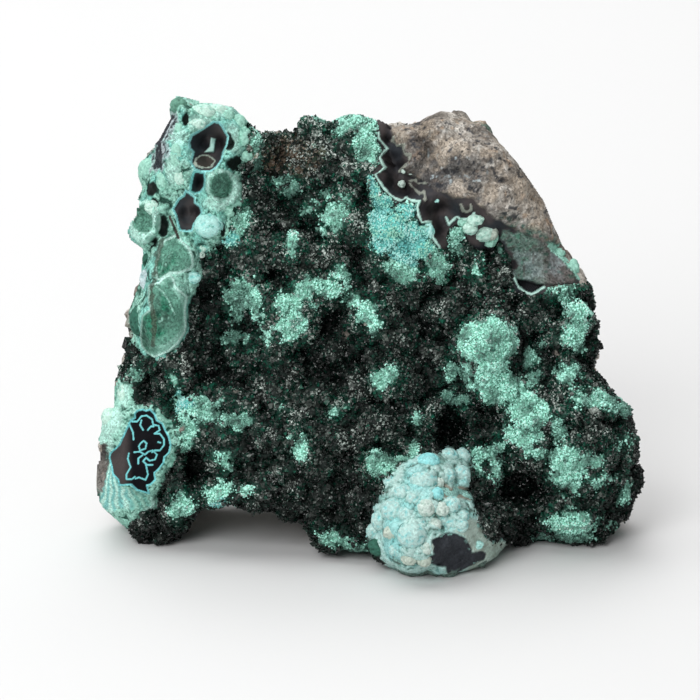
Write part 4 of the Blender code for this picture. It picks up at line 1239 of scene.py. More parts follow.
def knob_points(knobs, count, bump, bump_size, seed, sunk):
    """Balls set on the face: x, v, half width, half height and how far each stands out.

    The sunk share makes all of them stand out less.

    Each is a closed grid over a ball, stretched, and pushed out by lumps along its own
    outward direction. Returns its points, its faces and each point's height on its ball.
    """
    ball, squares = cube_ball(count)
    table = np.array([spot[:5] for spot in knobs])
    depth = np.minimum(table[:, 2], table[:, 3])
    middle = stone().front(table[:, 0], table[:, 1]) + sunk * table[:, 4] - depth
    centre = np.stack([table[:, 0], table[:, 1], middle], axis=1)
    reach = np.stack([table[:, 2], table[:, 3], depth], axis=1)
    points = centre[:, None, :] + ball[None] * reach[:, None, :]
    flat = points.reshape(-1, 3)
    lumps = bump * (lump_height(flat, bump_size, seed) - 0.6)
    lumps += 0.5 * bump * (lump_height(flat, 0.5 * bump_size, seed + 7) - 0.6)
    outward = np.tile(ball, (len(table), 1))
    offsets = np.arange(len(table)) * len(ball)
    faces = (squares[None] + offsets[:, None, None]).reshape(-1, 4)
    return flat + lumps[:, None] * outward, faces, outward[:, 2], lumps / bump


# A blocky crystal: a square prism whose top is narrower and slants to one side.
BLOCK_SHAPE = np.array(
    [
        [-0.5, -0.5, -0.5],
        [0.5, -0.5, -0.5],
        [0.5, 0.5, -0.5],
        [-0.5, 0.5, -0.5],
        [-0.42, -0.36, 0.42],
        [0.36, -0.42, 0.60],
        [0.42, 0.30, 0.36],
        [-0.30, 0.42, 0.24],
    ]
)
BLOCK_FACES = np.array(
    [[3, 2, 1, 0], [4, 5, 6, 7], [0, 1, 5, 4], [1, 2, 6, 5], [2, 3, 7, 6], [3, 0, 4, 7]]
)
# A small crystal: a three-sided prism whose top slants, as eight triangles.
SPLINTER_SHAPE = np.array(
    [
        [-0.5, -0.3, -0.5],
        [0.5, -0.3, -0.5],
        [0.0, 0.55, -0.5],
        [-0.45, -0.28, 0.35],
        [0.45, -0.28, 0.65],
        [0.0, 0.5, 0.3],
    ]
)
SPLINTER_FACES = np.array(
    [[2, 1, 0], [3, 4, 5], [0, 1, 4], [0, 4, 3], [1, 2, 5], [1, 5, 4], [2, 0, 3], [2, 3, 5]]
)
# A grain with eight faces: two four-sided points, base to base.
GRAIN_SHAPE = np.array(
    [
        [0.5, 0.0, 0.0],
        [0.0, 0.5, 0.0],
        [-0.5, 0.0, 0.0],
        [0.0, -0.5, 0.0],
        [0.0, 0.0, 0.5],
        [0.0, 0.0, -0.5],
    ]
)
GRAIN_FACES = np.array(
    [[0, 1, 4], [1, 2, 4], [2, 3, 4], [3, 0, 4], [1, 0, 5], [2, 1, 5], [3, 2, 5], [0, 3, 5]]
)


def plain_material(name, colour, roughness, specular=0.5):
    """A finish of one tone, for the floor."""
    material = bpy.data.materials.new(name)
    material.use_nodes = True
    shader = material.node_tree.nodes["Principled BSDF"]
    shader.inputs["Base Color"].default_value = (*colour, 1.0)
    shader.inputs["Roughness"].default_value = roughness
    shader.inputs["Specular IOR Level"].default_value = specular
    return material


def mineral_facets_group():
    """A shader group: every small cell of space has its own tilt and tone, a few are bright.

    A cell's tilt leans the normal, its tone scales the colour, and where its value is in the
    painted glint share, a painted highlight colour takes over. Grit fades tilt and tone together.
    """
    name = "mineral_facets"
    if name in bpy.data.node_groups:
        return bpy.data.node_groups[name]
    group = bpy.data.node_groups.new(name, "ShaderNodeTree")
    sockets = group.interface
    for label in ("Colour", "Glint Colour"):
        sockets.new_socket(label, in_out="INPUT", socket_type="NodeSocketColor")
    for label in ("Facets per Metre", "Bright Share", "Grit", "Tilt", "Contrast"):
        sockets.new_socket(label, in_out="INPUT", socket_type="NodeSocketFloat")
    sockets.new_socket("Colour", in_out="OUTPUT", socket_type="NodeSocketColor")
    sockets.new_socket("Normal", in_out="OUTPUT", socket_type="NodeSocketVector")
    nodes, links = group.nodes, group.links

    def step(kind, operation, *given_values):
        """Adds one node of vector or number arithmetic, fed by links or by fixed values."""
        node = nodes.new(kind)
        node.operation = operation
        for socket, value in zip([one for one in node.inputs if one.enabled], given_values):
            if isinstance(value, bpy.types.NodeSocket):
                links.new(value, socket)
            else:
                socket.default_value = value
        return node.outputs[0]

    vector, number = "ShaderNodeVectorMath", "ShaderNodeMath"
    given = nodes.new("NodeGroupInput").outputs
    made = nodes.new("NodeGroupOutput").inputs
    cells = nodes.new("ShaderNodeTexVoronoi")
    links.new(nodes.new("ShaderNodeTexCoord").outputs["Object"], cells.inputs["Vector"])
    links.new(given["Facets per Metre"], cells.inputs["Scale"])
    chance = cells.outputs["Color"]
    surface = nodes.new("ShaderNodeNewGeometry").outputs["Normal"]
    tilt = step(number, "MULTIPLY", given["Tilt"], given["Grit"])
    leaning = step(vector, "SCALE", step(vector, "SUBTRACT", chance, (0.5, 0.5, 0.5)), tilt)
    facet = step(vector, "NORMALIZE", step(vector, "ADD", surface, leaning))
    parts = nodes.new("ShaderNodeSeparateXYZ")
    links.new(chance, parts.inputs[0])
    # Painted highlight: cells within the painted glint share take the glint colour in place of the base colour.
    beyond = step(number, "ADD", parts.outputs["X"], given["Bright Share"])
    bright = step(number, "MULTIPLY_ADD", beyond, 3.5, -3.5)
    bright.node.use_clamp = True
    amount = step(number, "MULTIPLY", given["Contrast"], given["Grit"])
    shade = step(number, "MULTIPLY_ADD", step(number, "SUBTRACT", parts.outputs["Y"], 0.5), amount, 1.0)
    toned_colour = step(vector, "SCALE", given["Colour"], shade)
    mixed = nodes.new("ShaderNodeMix")
    mixed.data_type = "RGBA"
    colours_in = [socket for socket in mixed.inputs if socket.enabled]
    for socket, value in zip(colours_in, (bright, toned_colour, given["Glint Colour"])):
        links.new(value, socket)
    links.new([socket for socket in mixed.outputs if socket.enabled][0], made["Colour"])
    links.new(facet, made["Normal"])
    return group


def mineral_material(name, facets, tilt, contrast, specular=0.2, painted_glint=PAINTED_GLINT_COLOUR):
    """Mineral surface: its colour, gloss, grit and share of painted glints come from the mesh."""
    material = bpy.data.materials.new(name)
    material.use_nodes = True
    nodes, links = material.node_tree.nodes, material.node_tree.links
    shader = nodes["Principled BSDF"]
    shader.inputs["Specular IOR Level"].default_value = specular
    group = nodes.new("ShaderNodeGroup")
    group.node_tree = mineral_facets_group()
    group.inputs["Glint Colour"].default_value = (*painted_glint, 1.0)
    group.inputs["Facets per Metre"].default_value = facets
    group.inputs["Tilt"].default_value = tilt
    group.inputs["Contrast"].default_value = contrast
    layers = (
        ("tint", "Color", group.inputs["Colour"]),
        ("painted_glints", "Fac", group.inputs["Bright Share"]),
        ("grit", "Fac", group.inputs["Grit"]),
        ("gloss", "Fac", shader.inputs["Roughness"]),
    )
    for layer, output, socket in layers:
        reader = nodes.new("ShaderNodeAttribute")
        reader.attribute_name = layer
        links.new(reader.outputs[output], socket)
    links.new(group.outputs["Colour"], shader.inputs["Base Color"])
    links.new(group.outputs["Normal"], shader.inputs["Normal"])
    return material


def dress(piece, tint, gloss=0.8, grit=1.0, painted_glints=0.0):
    """Stores what the mineral material reads: colour, roughness, grit and painted glint share."""
    count = len(tint)
    attribute(piece.data, "tint", tint)
    for name, value in (("gloss", gloss), ("grit", grit), ("painted_glints", painted_glints)):
        attribute(piece.data, name, np.broadcast_to(np.asarray(value, dtype=float), count))


class MalachiteCrystalSizes(bpy.types.PropertyGroup):
    """Sizes and numbers of the small crystals and grains."""

    skin_steps: bpy.props.IntProperty(
        name="Skin Steps",
        description="Steps of the skin's grid along each side of its cube",
        default=112,
        min=16,
        max=128,
    )
    block_size: bpy.props.FloatProperty(
        name="Block Size",
        description="Width of a blocky crystal of the dark crust, in millimetres",
        default=0.58,
        min=0.2,
        max=3.0,
    )
    blocks: bpy.props.IntProperty(
        name="Blocks",
        description="Number of blocky crystals of the crust",
        default=8500,
        min=100,
        max=16000,
    )
    splinter_size: bpy.props.FloatProperty(
        name="Splinter Size",
        description="Width of a small crystal of the dark crust, in millimetres",
        default=0.415,
        min=0.1,
        max=2.0,
    )
    splinters: bpy.props.IntProperty(
        name="Splinters",
        description="Number of small crystals in each half of the crust",
        default=17500,
        min=100,
        max=24000,
    )
    grain_size: bpy.props.FloatProperty(
        name="Grain Size",
        description="Width of a grain of the mint and blue growths, in millimetres",
        default=0.37,
        min=0.1,
        max=2.0,
    )
    grains: bpy.props.IntProperty(
        name="Grains",
        description="Number of grains on the mint and blue growths",
        default=20500,
        min=100,
        max=24000,
    )


class MalachiteColours(bpy.types.PropertyGroup):
    """Colours of the crystals and grains."""

    crystal: bpy.props.FloatVectorProperty(
        name="Crystal",
        description="Colour of the dark crystals",
        subtype="COLOR",
        size=3,
        default=(0.007, 0.012, 0.010),
        min=0.0,
        max=1.0,
    )
    crystal_green: bpy.props.FloatVectorProperty(
        name="Green Crystal",
        description="Colour of the green crystals among the dark ones",
        subtype="COLOR",
        size=3,
        default=(0.008, 0.060, 0.038),
        min=0.0,
        max=1.0,
    )
    mint: bpy.props.FloatVectorProperty(
        name="Mint",
        description="Colour of the mint green growths",
        subtype="COLOR",
        size=3,
        default=(0.36, 0.72, 0.59),
        min=0.0,
        max=1.0,
    )
    blue: bpy.props.FloatVectorProperty(
        name="Blue",
        description="Colour of the pale blue growths",
        subtype="COLOR",
        size=3,
        default=(0.42, 0.80, 0.74),
        min=0.0,
        max=1.0,
    )


def sizes():
    """The sizes and numbers that the sidebar holds."""
    return bpy.context.scene.malachite_sizes


def colours():
    """The colours that the sidebar holds."""
    return bpy.context.scene.malachite_colours


kept = {}


def stone():
    """The stone's skin, worked out once and used by every operator."""
    if "stone" not in kept:
        kept["stone"] = Stone(sizes().skin_steps)
    return kept["stone"]


def toned(colour, factor):
    """A colour made lighter or darker."""
    return tuple(min(1.0, part * factor) for part in colour)


def fewer(count):
    return count


def sheet_step(step):
    return step


class MALACHITE_OT_skin(bpy.types.Operator):
    """Builds the stone's skin in place of the plain solid"""

    bl_idname = "malachite.skin"
    bl_label = "Stone Skin"

    def execute(self, context):
        """Colours the skin and gives each mineral its own gloss."""
        skin = stone()
        material = mineral_material("mineral_skin", 3400.0, 0.5, 0.9)
        piece = new_piece("stone_skin", skin.points, skin.faces, [material], smooth=True)
        zones = skin.zones
        gloss = 0.9 - 0.3 * zones.druse
        dress(piece, skin.tint, gloss, 1.0 - 0.6 * zones.black, skin.painted_glints * zones.druse)
        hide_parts(NODE_NAME)
        return {"FINISHED"}


def sink_cast(sheet, corners, depth, rim_width, rim_rise, rim_colour):
    """Sinks a smooth dark hollow with steep sides into a sheet and draws its pale rim."""
    amount = edge(inside(sheet.x, sheet.v, corners), 0.3)
    sheet.height = sheet.height * (1.0 - amount) - depth * amount
    cloudy = 0.5 + 0.5 * rough_noise(sheet.places, 2.4, seed=193)
    tint = blend(flat_tint(CAST_DARK, len(sheet.x)), CAST_BROWN, smooth_step(cloudy))
    sheet.paint(amount, tint, gloss=0.55)
    sheet.line(corners + corners[:1], rim_width, rim_rise, rim_colour)


def raise_shell(sheet, corners, rise, centre, rim_width):
    """Raises a velvety shell whose bands grow paler from its centre of growth to its rim.

    The place in the bands is the distance from the centre over that and the distance to
    the border, added.
    """
    depth = inside(sheet.x, sheet.v, corners)
    amount = edge(depth, 0.25)
    reach = np.hypot(sheet.x - centre[0], sheet.v - centre[1])
    band = reach / np.maximum(reach + np.maximum(depth, 0.0), 0.01)
    fine = smooth_noise(sheet.places, 0.34, seed=197)
    waves = 0.05 * np.sin(5.0 * reach) + 0.08 * smooth_noise(sheet.places, 2.0, seed=199)
    level = rise * (1.0 - 0.35 * band**3) + 0.05 * fine
    sheet.height = sheet.height * (1.0 - amount) + level * amount
    tint = blend(flat_tint(SHELL_GREEN, len(sheet.x)), SHELL_DARK, smooth_step(0.6 * fine + 0.2))
    vivid = smooth_step(0.2 + 1.2 * rough_noise(sheet.places, 2.2, seed=373))
    tint = blend(tint, SHELL_VIVID, 0.8 * vivid)
    specks = smooth_noise(sheet.places, 0.55, seed=433)
    tint = blend(tint, CRUST_GAP_SHADE_AND_SPECK, 0.75 * smooth_step((specks - 0.35) / 0.2))
    tint = blend(tint, SHELL_PALE, 0.6 * smooth_step((-specks - 0.5) / 0.2))
    to_right = smooth_step((sheet.x - centre[0] + 1.6) / 2.5)
    tint = blend(tint, SHELL_MINT, smooth_step((band + waves - 0.42) / 0.3) * to_right)
    tint = blend(tint, SHELL_PALE, smooth_step((band + waves - 0.80) / 0.14) * to_right)
    sheet.paint(amount, tint)
    rim = edge(depth, 0.1) * (1.0 - smooth_step((depth - 0.5 * rim_width) / (0.5 * rim_width)))
    sheet.height += 0.12 * rim
    sheet.paint(rim * (0.35 + 0.65 * to_right), RIM_PALE)


def raise_cup(sheet, spot):
    """Raises a cup: a pale rim, widest at its lower right, round a hollow of dusty green."""
    cup = oval_distance(sheet.x, sheet.v, spot) + 0.09 * rough_noise(sheet.places, 1.3, seed=419)
    sheet.height += 0.6 * np.clip(1.0 - ((cup - 0.85) / 0.28) ** 2, 0.0, 1.0)
    sheet.height -= 1.6 * swell(cup / 0.85)
    grain = smooth_noise(sheet.places, 0.4, seed=421)
    pale = blend(flat_tint(MARGIN_PALE, len(sheet.x)), MARGIN_MINT, smooth_step(0.3 - grain))
    sheet.paint(edge((1.08 - cup) * 2.6, 0.3), pale)
    to_right = smooth_step(0.5 + 0.3 * (sheet.x - spot[0] - sheet.v + spot[1]))
    dusty = blend(flat_tint(SHELL_MINT, len(sheet.x)), SHELL_GREEN, smooth_step(0.2 + grain))
    sheet.paint(smooth_step((0.95 - 0.3 * to_right - cup) / 0.15), dusty)


class MALACHITE_OT_left_margin(bpy.types.Operator):
    """Lays the broken left margin: dark casts with pale rims, shells and a cup"""

    bl_idname = "malachite.left_margin"
    bl_label = "Left Margin"

    def execute(self, context):
        """Works the sheet's relief and colours from its crust up to its rims."""
        sheet = Sheet(LEFT_MARGIN, sheet_step(0.13), lift=0.3)
        x, v, places = sheet.x, sheet.v, sheet.places
        lumps = lump_height(places, 1.5, seed=179) - 0.6
        fine = lump_height(places, 0.6, seed=181) - 0.6
        grain = rough_noise(places, 0.8, seed=353)
        sheet.height += 0.75 * lumps + 0.22 * fine + 0.25 * rough_noise(places, 3.0, seed=191)
        sheet.height += 0.08 * grain
        tint = mint_tint(places)
        broad = 0.5 + 0.5 * rough_noise(places, 4.5, seed=211)
        tint = blend(tint, MARGIN_MINT, smooth_step(1.8 * broad - 0.5) * 0.6)
        tint = blend(tint, MARGIN_BLUE, smooth_step(1.6 - 3.2 * broad) * 0.6)
        # Painted shade in the gaps between the lumps, more of it lower down.
        lower_gap_shade = smooth_step((33.0 - v) / 12.0)
        gap = smooth_step(0.5 * lower_gap_shade - 3.0 * lumps - 0.5 - 0.9 * grain)
        tint = blend(tint, CRUST_GAP_SHADE_AND_SPECK, 0.9 * gap)
        gap = smooth_step(0.4 * lower_gap_shade - 3.0 * fine - 0.8 - 0.9 * grain)
        tint = blend(tint, CRUST_GAP_SHADE_AND_SPECK, 0.7 * gap)
        sheet.paint(np.ones(len(x)), tint)
        sheet.paint(edge(spot_depth(x, v, MARGIN_PALE_SPOTS), 0.8) * (0.6 + 0.3 * fine), MARGIN_PALE)
        for spot in MARGIN_HOLLOWS:
            sheet.hollow(spot, DRUSE_BLACK)
        sheet.line(DARK_BAND, 1.7, 0.1, LILAC_GREY, ragged=0.7, strength=0.7)
        sheet.line(DARK_BAND, 1.05, -0.5, CAST_DARK, ragged=0.7)
        inner = tuple((px + 0.5, pv + 0.1) for px, pv in DARK_BAND[:4])
        sheet.line(inner, 0.2, 0.3, LILAC_GREY, ragged=0.25)
        raise_shell(sheet, UPPER_SHELL, 0.75, (-33.6, 11.0), 0.5)
        raise_shell(sheet, BIG_SHELL, 1.0, (-35.0, 3.4), 0.4)
        sheet.line(INNER_RIDGE, 0.16, 0.2, SHELL_MINT)
        sheet.line(SHELL_RIDGE, 0.16, 0.3, SHELL_PALE)
        sheet.line(SHELL_SEAM, 0.42, -0.15, SEAM_BROWN, ragged=0.3, strength=0.75)
        raise_cup(sheet, CUP)
        raise_cup(sheet, EDGE_CUP)
        sink_cast(sheet, UPPER_CAST, 0.7, 0.2, 0.2, RIM_BLUE)
        sink_cast(sheet, MIDDLE_CAST, 0.7, 0.22, 0.25, RIM_BLUE)
        sink_cast(sheet, LOWER_CAST, 0.6, 0.2, 0.2, RIM_BLUE)
        for spot in MARGIN_CAST_PITS:
            sheet.hollow(spot, CAST_BLACK, soft=True)
        septum = edge(inside(x, v, CAST_SEPTUM), 0.2)
        sheet.height += 0.75 * septum
        sheet.paint(septum, RIM_PALE)
        ring = oval_distance(x, v, CAST_RING) + 0.12 * rough_noise(places, 0.9, seed=443)
        within = edge((1.0 - ring) * 1.3, 0.15)
        sheet.height += 0.35 * within + 0.1 * within * fine
        sheet.paint(within, ROCK_DARK)
        crest = np.clip(1.0 - ((ring - 1.0) / 0.13) ** 2, 0.0, 1.0)
        sheet.height += 0.2 * crest
        sheet.paint(smooth_step(2.0 * crest), PALE_CREAM)
        sheet.line(MARGIN_SEAM, 0.3, -0.3, ROCK_DARK)
        sheet.line(tuple((px + 0.28, pv) for px, pv in MARGIN_SEAM), 0.1, 0.15, MARGIN_MINT)
        material = mineral_material("margin_crust", 3400.0, 0.5, 0.8, specular=0.1)
        sheet.finish("left_margin", material)
        return {"FINISHED"}


class MALACHITE_OT_left_foot(bpy.types.Operator):
    """Lays the left foot's crust with its black flower of pale blue lines"""

    bl_idname = "malachite.left_foot"
    bl_label = "Left Foot"

    def execute(self, context):
        """Works the foot's crust, its fibrous skirt and the flower's lines."""
        sheet = Sheet(LEFT_FOOT_CRUST, sheet_step(0.1), lift=0.25)
        x, v, places = sheet.x, sheet.v, sheet.places
        lumps = lump_height(places, 1.3, seed=223) - 0.6
        fine = lump_height(places, 0.5, seed=227) - 0.6
        sheet.height += 0.6 * lumps + 0.18 * fine
        broad = 0.5 + 0.5 * rough_noise(places, 3.5, seed=229)
        tint = blend(mint_tint(places), MARGIN_MINT, smooth_step(1.6 * broad - 0.2) * 0.8)
        # Painted shade in the gaps between the lumps.
        tint = blend(tint, CRUST_GAP_SHADE_AND_SPECK, smooth_step(-3.0 * lumps - 0.3) * 0.9)
        tint = blend(tint, CRUST_GAP_SHADE_AND_SPECK, smooth_step(-3.0 * fine - 0.5) * 0.7)
        sheet.paint(np.ones(len(x)), tint)
        sheet.paint(edge(spot_depth(x, v, FOOT_PALE_SPOTS), 0.8) * 0.8, MARGIN_PALE)
        skirt = edge(inside(x, v, FOOT_SKIRT), 0.5)
        angle = np.arctan2(v - FOOT_SKIRT_CENTRE[1], x - FOOT_SKIRT_CENTRE[0])
        fibres = np.sin(46.0 * angle + 3.0 * smooth_noise(places, 2.0, seed=233))
        sheet.height = sheet.height * (1.0 - skirt) + (0.25 + 0.06 * fibres) * skirt
        tint = blend(flat_tint(SKIRT_BLUE, len(x)), MARGIN_PALE, smooth_step(0.5 + 0.5 * fibres))
        tint = blend(tint, SHELL_MINT, smooth_step((x + 40.4) / 2.5) * 0.7)
        sheet.paint(skirt, tint)
        strip = edge(inside(x, v, FOOT_STRIP) + 0.6 * rough_noise(places, 1.4, seed=449), 0.6)
        sheet.paint(strip, blend(rock_tint(places), CAST_DARK, np.full(len(x), 0.5)))
        amount = edge(inside(x, v, FLOWER), 0.25)
        cloudy = rough_noise(places, 2.0, seed=239)
        sheet.height = sheet.height * (1.0 - amount) + (0.05 + 0.12 * cloudy) * amount
        tint = blend(flat_tint(CAST_BLACK, len(x)), CAST_BROWN, smooth_step(0.3 - (x + 39.0) / 2.0))
        sheet.paint(amount, tint, gloss=0.6)
        for path in FLOWER_LINES:
            sheet.line(path, 0.15, 0.06, FLOWER_BLUE)
        sheet.line(FLOWER + FLOWER[:1], 0.17, 0.12, FLOWER_BLUE)
        material = mineral_material("foot_crust", 3400.0, 0.45, 0.7, specular=0.04)
        sheet.finish("left_foot_crust", material)
        return {"FINISHED"}


class MALACHITE_OT_matrix(bpy.types.Operator):
    """Lays the brown matrix, the dark casts at its foot and the shelf beside it"""

    bl_idname = "malachite.matrix"
    bl_label = "Matrix and Casts"

    def execute(self, context):
        """Works the casts first, then the rock over them, the shelf and the pale rims."""
        sheet = Sheet(UPPER_RIGHT, sheet_step(0.155), lift=0.3)
        x, v, places = sheet.x, sheet.v, sheet.places
        count = len(x)
        cloudy = 0.5 + 0.5 * rough_noise(places, 2.6, seed=241)
        tint = blend(flat_tint(CAST_DARK, count), CAST_BROWN, smooth_step(1.4 * cloudy - 0.2))
        sheet.height += 0.18 * cloudy - 0.7
        sheet.paint(np.ones(count), tint, gloss=0.6)
        for spot in CAST_PITS:
            sheet.hollow(spot, CAST_BLACK, soft=True)
        rock = edge(inside(x, v, MATRIX) + 0.35 * rough_noise(places, 1.6, seed=251), 0.5)
        rough = 0.5 * rough_noise(places, 3.0, seed=257) + 0.22 * rough_noise(places, 0.9, seed=263)
        pits = smooth_step((-0.75 - rough_noise(places, 1.7, seed=269)) / 0.25)
        specks = rough_noise(places, 0.75, seed=397)
        patchy = rough_noise(places, 2.6, seed=439)
        dusky = knob(oval_distance(x, v, MATRIX_DUSK)) * smooth_step(0.8 + 1.2 * patchy)
        level = 0.45 + rough - 0.35 * pits
        sheet.height = sheet.height * (1.0 - rock) + level * rock
        stone_tint = blend(rock_tint(places), ROCK_DARK, 0.8 * pits)
        low = smooth_step(1.0 - inside(x, v, MATRIX) / 3.0)
        stone_tint = blend(stone_tint, CAST_BROWN, 0.55 * low)
        stone_tint = blend(stone_tint, ROCK_TAN, 0.55 * smooth_step(0.3 - 1.5 * patchy))
        stone_tint = blend(stone_tint, CAST_DARK, 0.75 * dusky)
        dark = smooth_step((specks - 0.55 + 0.25 * patchy) / 0.25)
        stone_tint = blend(stone_tint, CAST_DARK, 0.85 * dark)
        pale = smooth_step((-specks - 0.55) / 0.15) * (0.2 + 0.8 * dusky)
        stone_tint = blend(stone_tint, LILAC_GREY, 0.8 * pale)
        near = smooth_step(1.0 + inside(x, v, SHELF) / 3.0) * smooth_step(0.4 + 1.5 * specks)
        stone_tint = blend(stone_tint, SHELF_GREEN, 0.7 * near)
        sheet.paint(rock, stone_tint, gloss=0.9)
        shelf = edge(inside(x, v, SHELF) + 0.5 * rough_noise(places, 1.3, seed=401), 0.5)
        sheet.height = sheet.height * (1.0 - shelf) + (0.1 + 0.25 * cloudy) * shelf
        green = smooth_step(1.2 - (x - 24.0) / 6.0) * smooth_step(0.3 + cloudy)
        tint = blend(flat_tint(SHELF_GREY, count), SHELF_BROWN, smooth_step((x - 28.5) / 3.0))
        tint = blend(tint, SHELF_GREEN, green * 0.5)
        tint = blend(tint, CRUST_GAP_SHADE_AND_SPECK, 0.7 * smooth_step((specks - 0.2) / 0.4))
        tint = blend(tint, LILAC_GREY, 0.35 * smooth_step(0.2 - 1.4 * patchy))
        tint = blend(tint, SHELL_VIVID, 0.5 * green * smooth_step((-specks - 0.3) / 0.3))
        grain = smooth_noise(places, 0.5, seed=271)
        tint = blend(tint, ROCK_DARK, smooth_step(-1.8 * grain - 0.3) * 0.6)
        sheet.paint(shelf, tint, gloss=0.75)
        pocket = edge(inside(x, v, SHELF_POCKET), 0.25)
        sheet.height -= 1.0 * pocket
        sheet.paint(pocket, CAST_BLACK)
        for spot in MATRIX_PITS:
            sheet.hollow(spot, CAST_DARK, soft=True)
        for path in (CAST_RIM, CAST_RIM_RIGHT, POCKET_RIM):
            sheet.line(path, 0.26, 0.7, RIM_PALE, ragged=0.14)
        for path in (MATRIX_RIM, *SMALL_RIMS):
            sheet.line(path, 0.2, 0.4, RIM_CREAM, ragged=0.2, strength=0.8)
        (x0, v0), (x1, v1) = SHELF_EDGE[0], SHELF_EDGE[-1]
        beyond = ((x - x0) * (v0 - v1) + (v - v0) * (x1 - x0)) / math.hypot(x1 - x0, v0 - v1)
        sheet.paint(edge(beyond, 0.4) * (1.0 - rock), mint_tint(places))
        sheet.line(SHELF_EDGE, 0.6, 0.3, MARGIN_MINT, ragged=0.4)
        material = mineral_material("matrix_rock", 3400.0, 0.6, 0.9, specular=0.15)
        sheet.finish("matrix_and_casts", material)
        return {"FINISHED"}


# Each kind's deep and pale colour: the deep one is painted shade in the gaps and round the sides, the pale one
# painted light on the tops.
KNOB_SHADE_AND_LIGHT_TINTS = {
    "mint": ((0.17, 0.40, 0.31), (0.33, 0.62, 0.51)),
    "pale": ((0.26, 0.52, 0.43), (0.55, 0.78, 0.68)),
    "velvet": ((0.07, 0.17, 0.125), (0.13, 0.30, 0.225)),
    "blue": ((0.20, 0.60, 0.56), (0.48, 0.82, 0.76)),
    "dark": ((0.012, 0.05, 0.035), (0.04, 0.14, 0.10)),
    "lilac": ((0.30, 0.45, 0.46), (0.55, 0.66, 0.68)),
    "white": ((0.34, 0.48, 0.42), (0.60, 0.72, 0.66)),
    "sky": (LOBE_BLUE, LOBE_WHITE),
    "disc": ((0.18, 0.58, 0.60), (0.32, 0.72, 0.72)),
    "cream": ((0.36, 0.44, 0.37), (0.52, 0.60, 0.52)),
}


def knob_piece(name, knobs, count, bump, bump_size, seed, sunk):
    """Makes rounded growths as one piece, with painted light and shade: each pale on its lumps and towards its
    front, and deeper in between.
    """
    points, faces, height, lumps = knob_points(knobs, count, bump, bump_size, seed, sunk)
    each = len(points) // len(knobs)
    deep = np.repeat([KNOB_SHADE_AND_LIGHT_TINTS[spot[5]][0] for spot in knobs], each, axis=0)
    pale = np.repeat([KNOB_SHADE_AND_LIGHT_TINTS[spot[5]][1] for spot in knobs], each, axis=0)
    grain = smooth_noise(points, 0.35, seed + 3)
    # Painted light and shade: paler on the lumps and towards the front of each ball, deeper in between, with
    # grain noise.
    amount = smooth_step(0.45 + 0.9 * lumps + 0.3 * height + 0.35 * grain)
    material = mineral_material(name + "_skin", 3400.0, 0.45, 0.35)
    piece = new_piece(name, points, faces, [material], smooth=True)
    dress(piece, deep + (pale - deep) * amount[:, None])
    return piece


class MALACHITE_OT_knobs(bpy.types.Operator):
    """Sets the rounded growths of the left margin and of the face"""

    bl_idname = "malachite.knobs"
    bl_label = "Rounded Growths"

    def execute(self, context):
        """Makes the listed knobs."""
        knob_piece("rounded_growths", KNOB_TABLE, 10, 0.26, 0.6, seed=281, sunk=0.75)
        return {"FINISHED"}


class MALACHITE_OT_lobe(bpy.types.Operator):
    """Builds the pale lobe of rounded chrysocolla"""

    bl_idname = "malachite.lobe"
    bl_label = "Pale Lobe"

    def execute(self, context):
        """Works the lobe's relief on a sheet and sets the clearer knobs on it."""
        sheet = Sheet(PALE_LOBE, sheet_step(0.14), lift=0.35)
        x, v, places = sheet.x, sheet.v, sheet.places
        large = lump_height(places, 2.5, seed=313) - 0.6
        middle = lump_height(places, 1.15, seed=317) - 0.6
        small = lump_height(places, 0.5, seed=331) - 0.6
        smooth = edge(inside(x, v, LOBE_DRAPE), 1.0)
        knobbly = 1.0 - 0.8 * smooth
        sheet.height += knobbly * (1.3 * large + 0.75 * middle + 0.22 * small)
        # Painted shade in the gaps between the lumps, grading to the lobe's own pale white on their tops, by the
        # lumps' height.
        level = 0.5 + 0.7 * large + 0.9 * middle + 0.7 * small
        tint = blend(flat_tint(LOBE_GAP_SHADE, len(x)), LOBE_MINT, smooth_step(1.6 * level - 0.2))
        tint = blend(tint, LOBE_WHITE, smooth_step(1.8 * level - 0.8))
        cloudy = smooth_step(0.3 + 0.8 * rough_noise(places, 4.0, seed=337))
        tint = blend(tint, LOBE_BLUE, 0.65 * cloudy * smooth_step(2.0 * level) * (1.0 - smooth))
        tint = blend(tint, PALE_CREAM, 0.6 * smooth)
        sheet.paint(np.ones(len(x)), tint)
        # Painted shade along the crevice: a beige band, dark at its bottom.
        sheet.line(LOBE_CREVICE, 1.1, -1.3, LOBE_BEIGE_SHADE)
        sheet.line(LOBE_CREVICE, 0.45, -0.6, ROCK_DARK)
        black = edge(inside(x, v, BLACK_INCLUSION) + 0.35 + 0.2 * small, 0.3)
        rugged = 0.35 * rough_noise(places, 1.2, seed=347)
        sheet.height = sheet.height * (1.0 - black) + rugged * black
        sheet.paint(black, CAST_DARK)
        sheet.finish("pale_lobe", mineral_material("pale_lobe_crust", 3400.0, 0.5, 0.4))
        knob_piece("pale_lobe_knobs", LOBE_KNOBS, 10, 0.3, 0.6, seed=283, sunk=0.76)
        return {"FINISHED"}


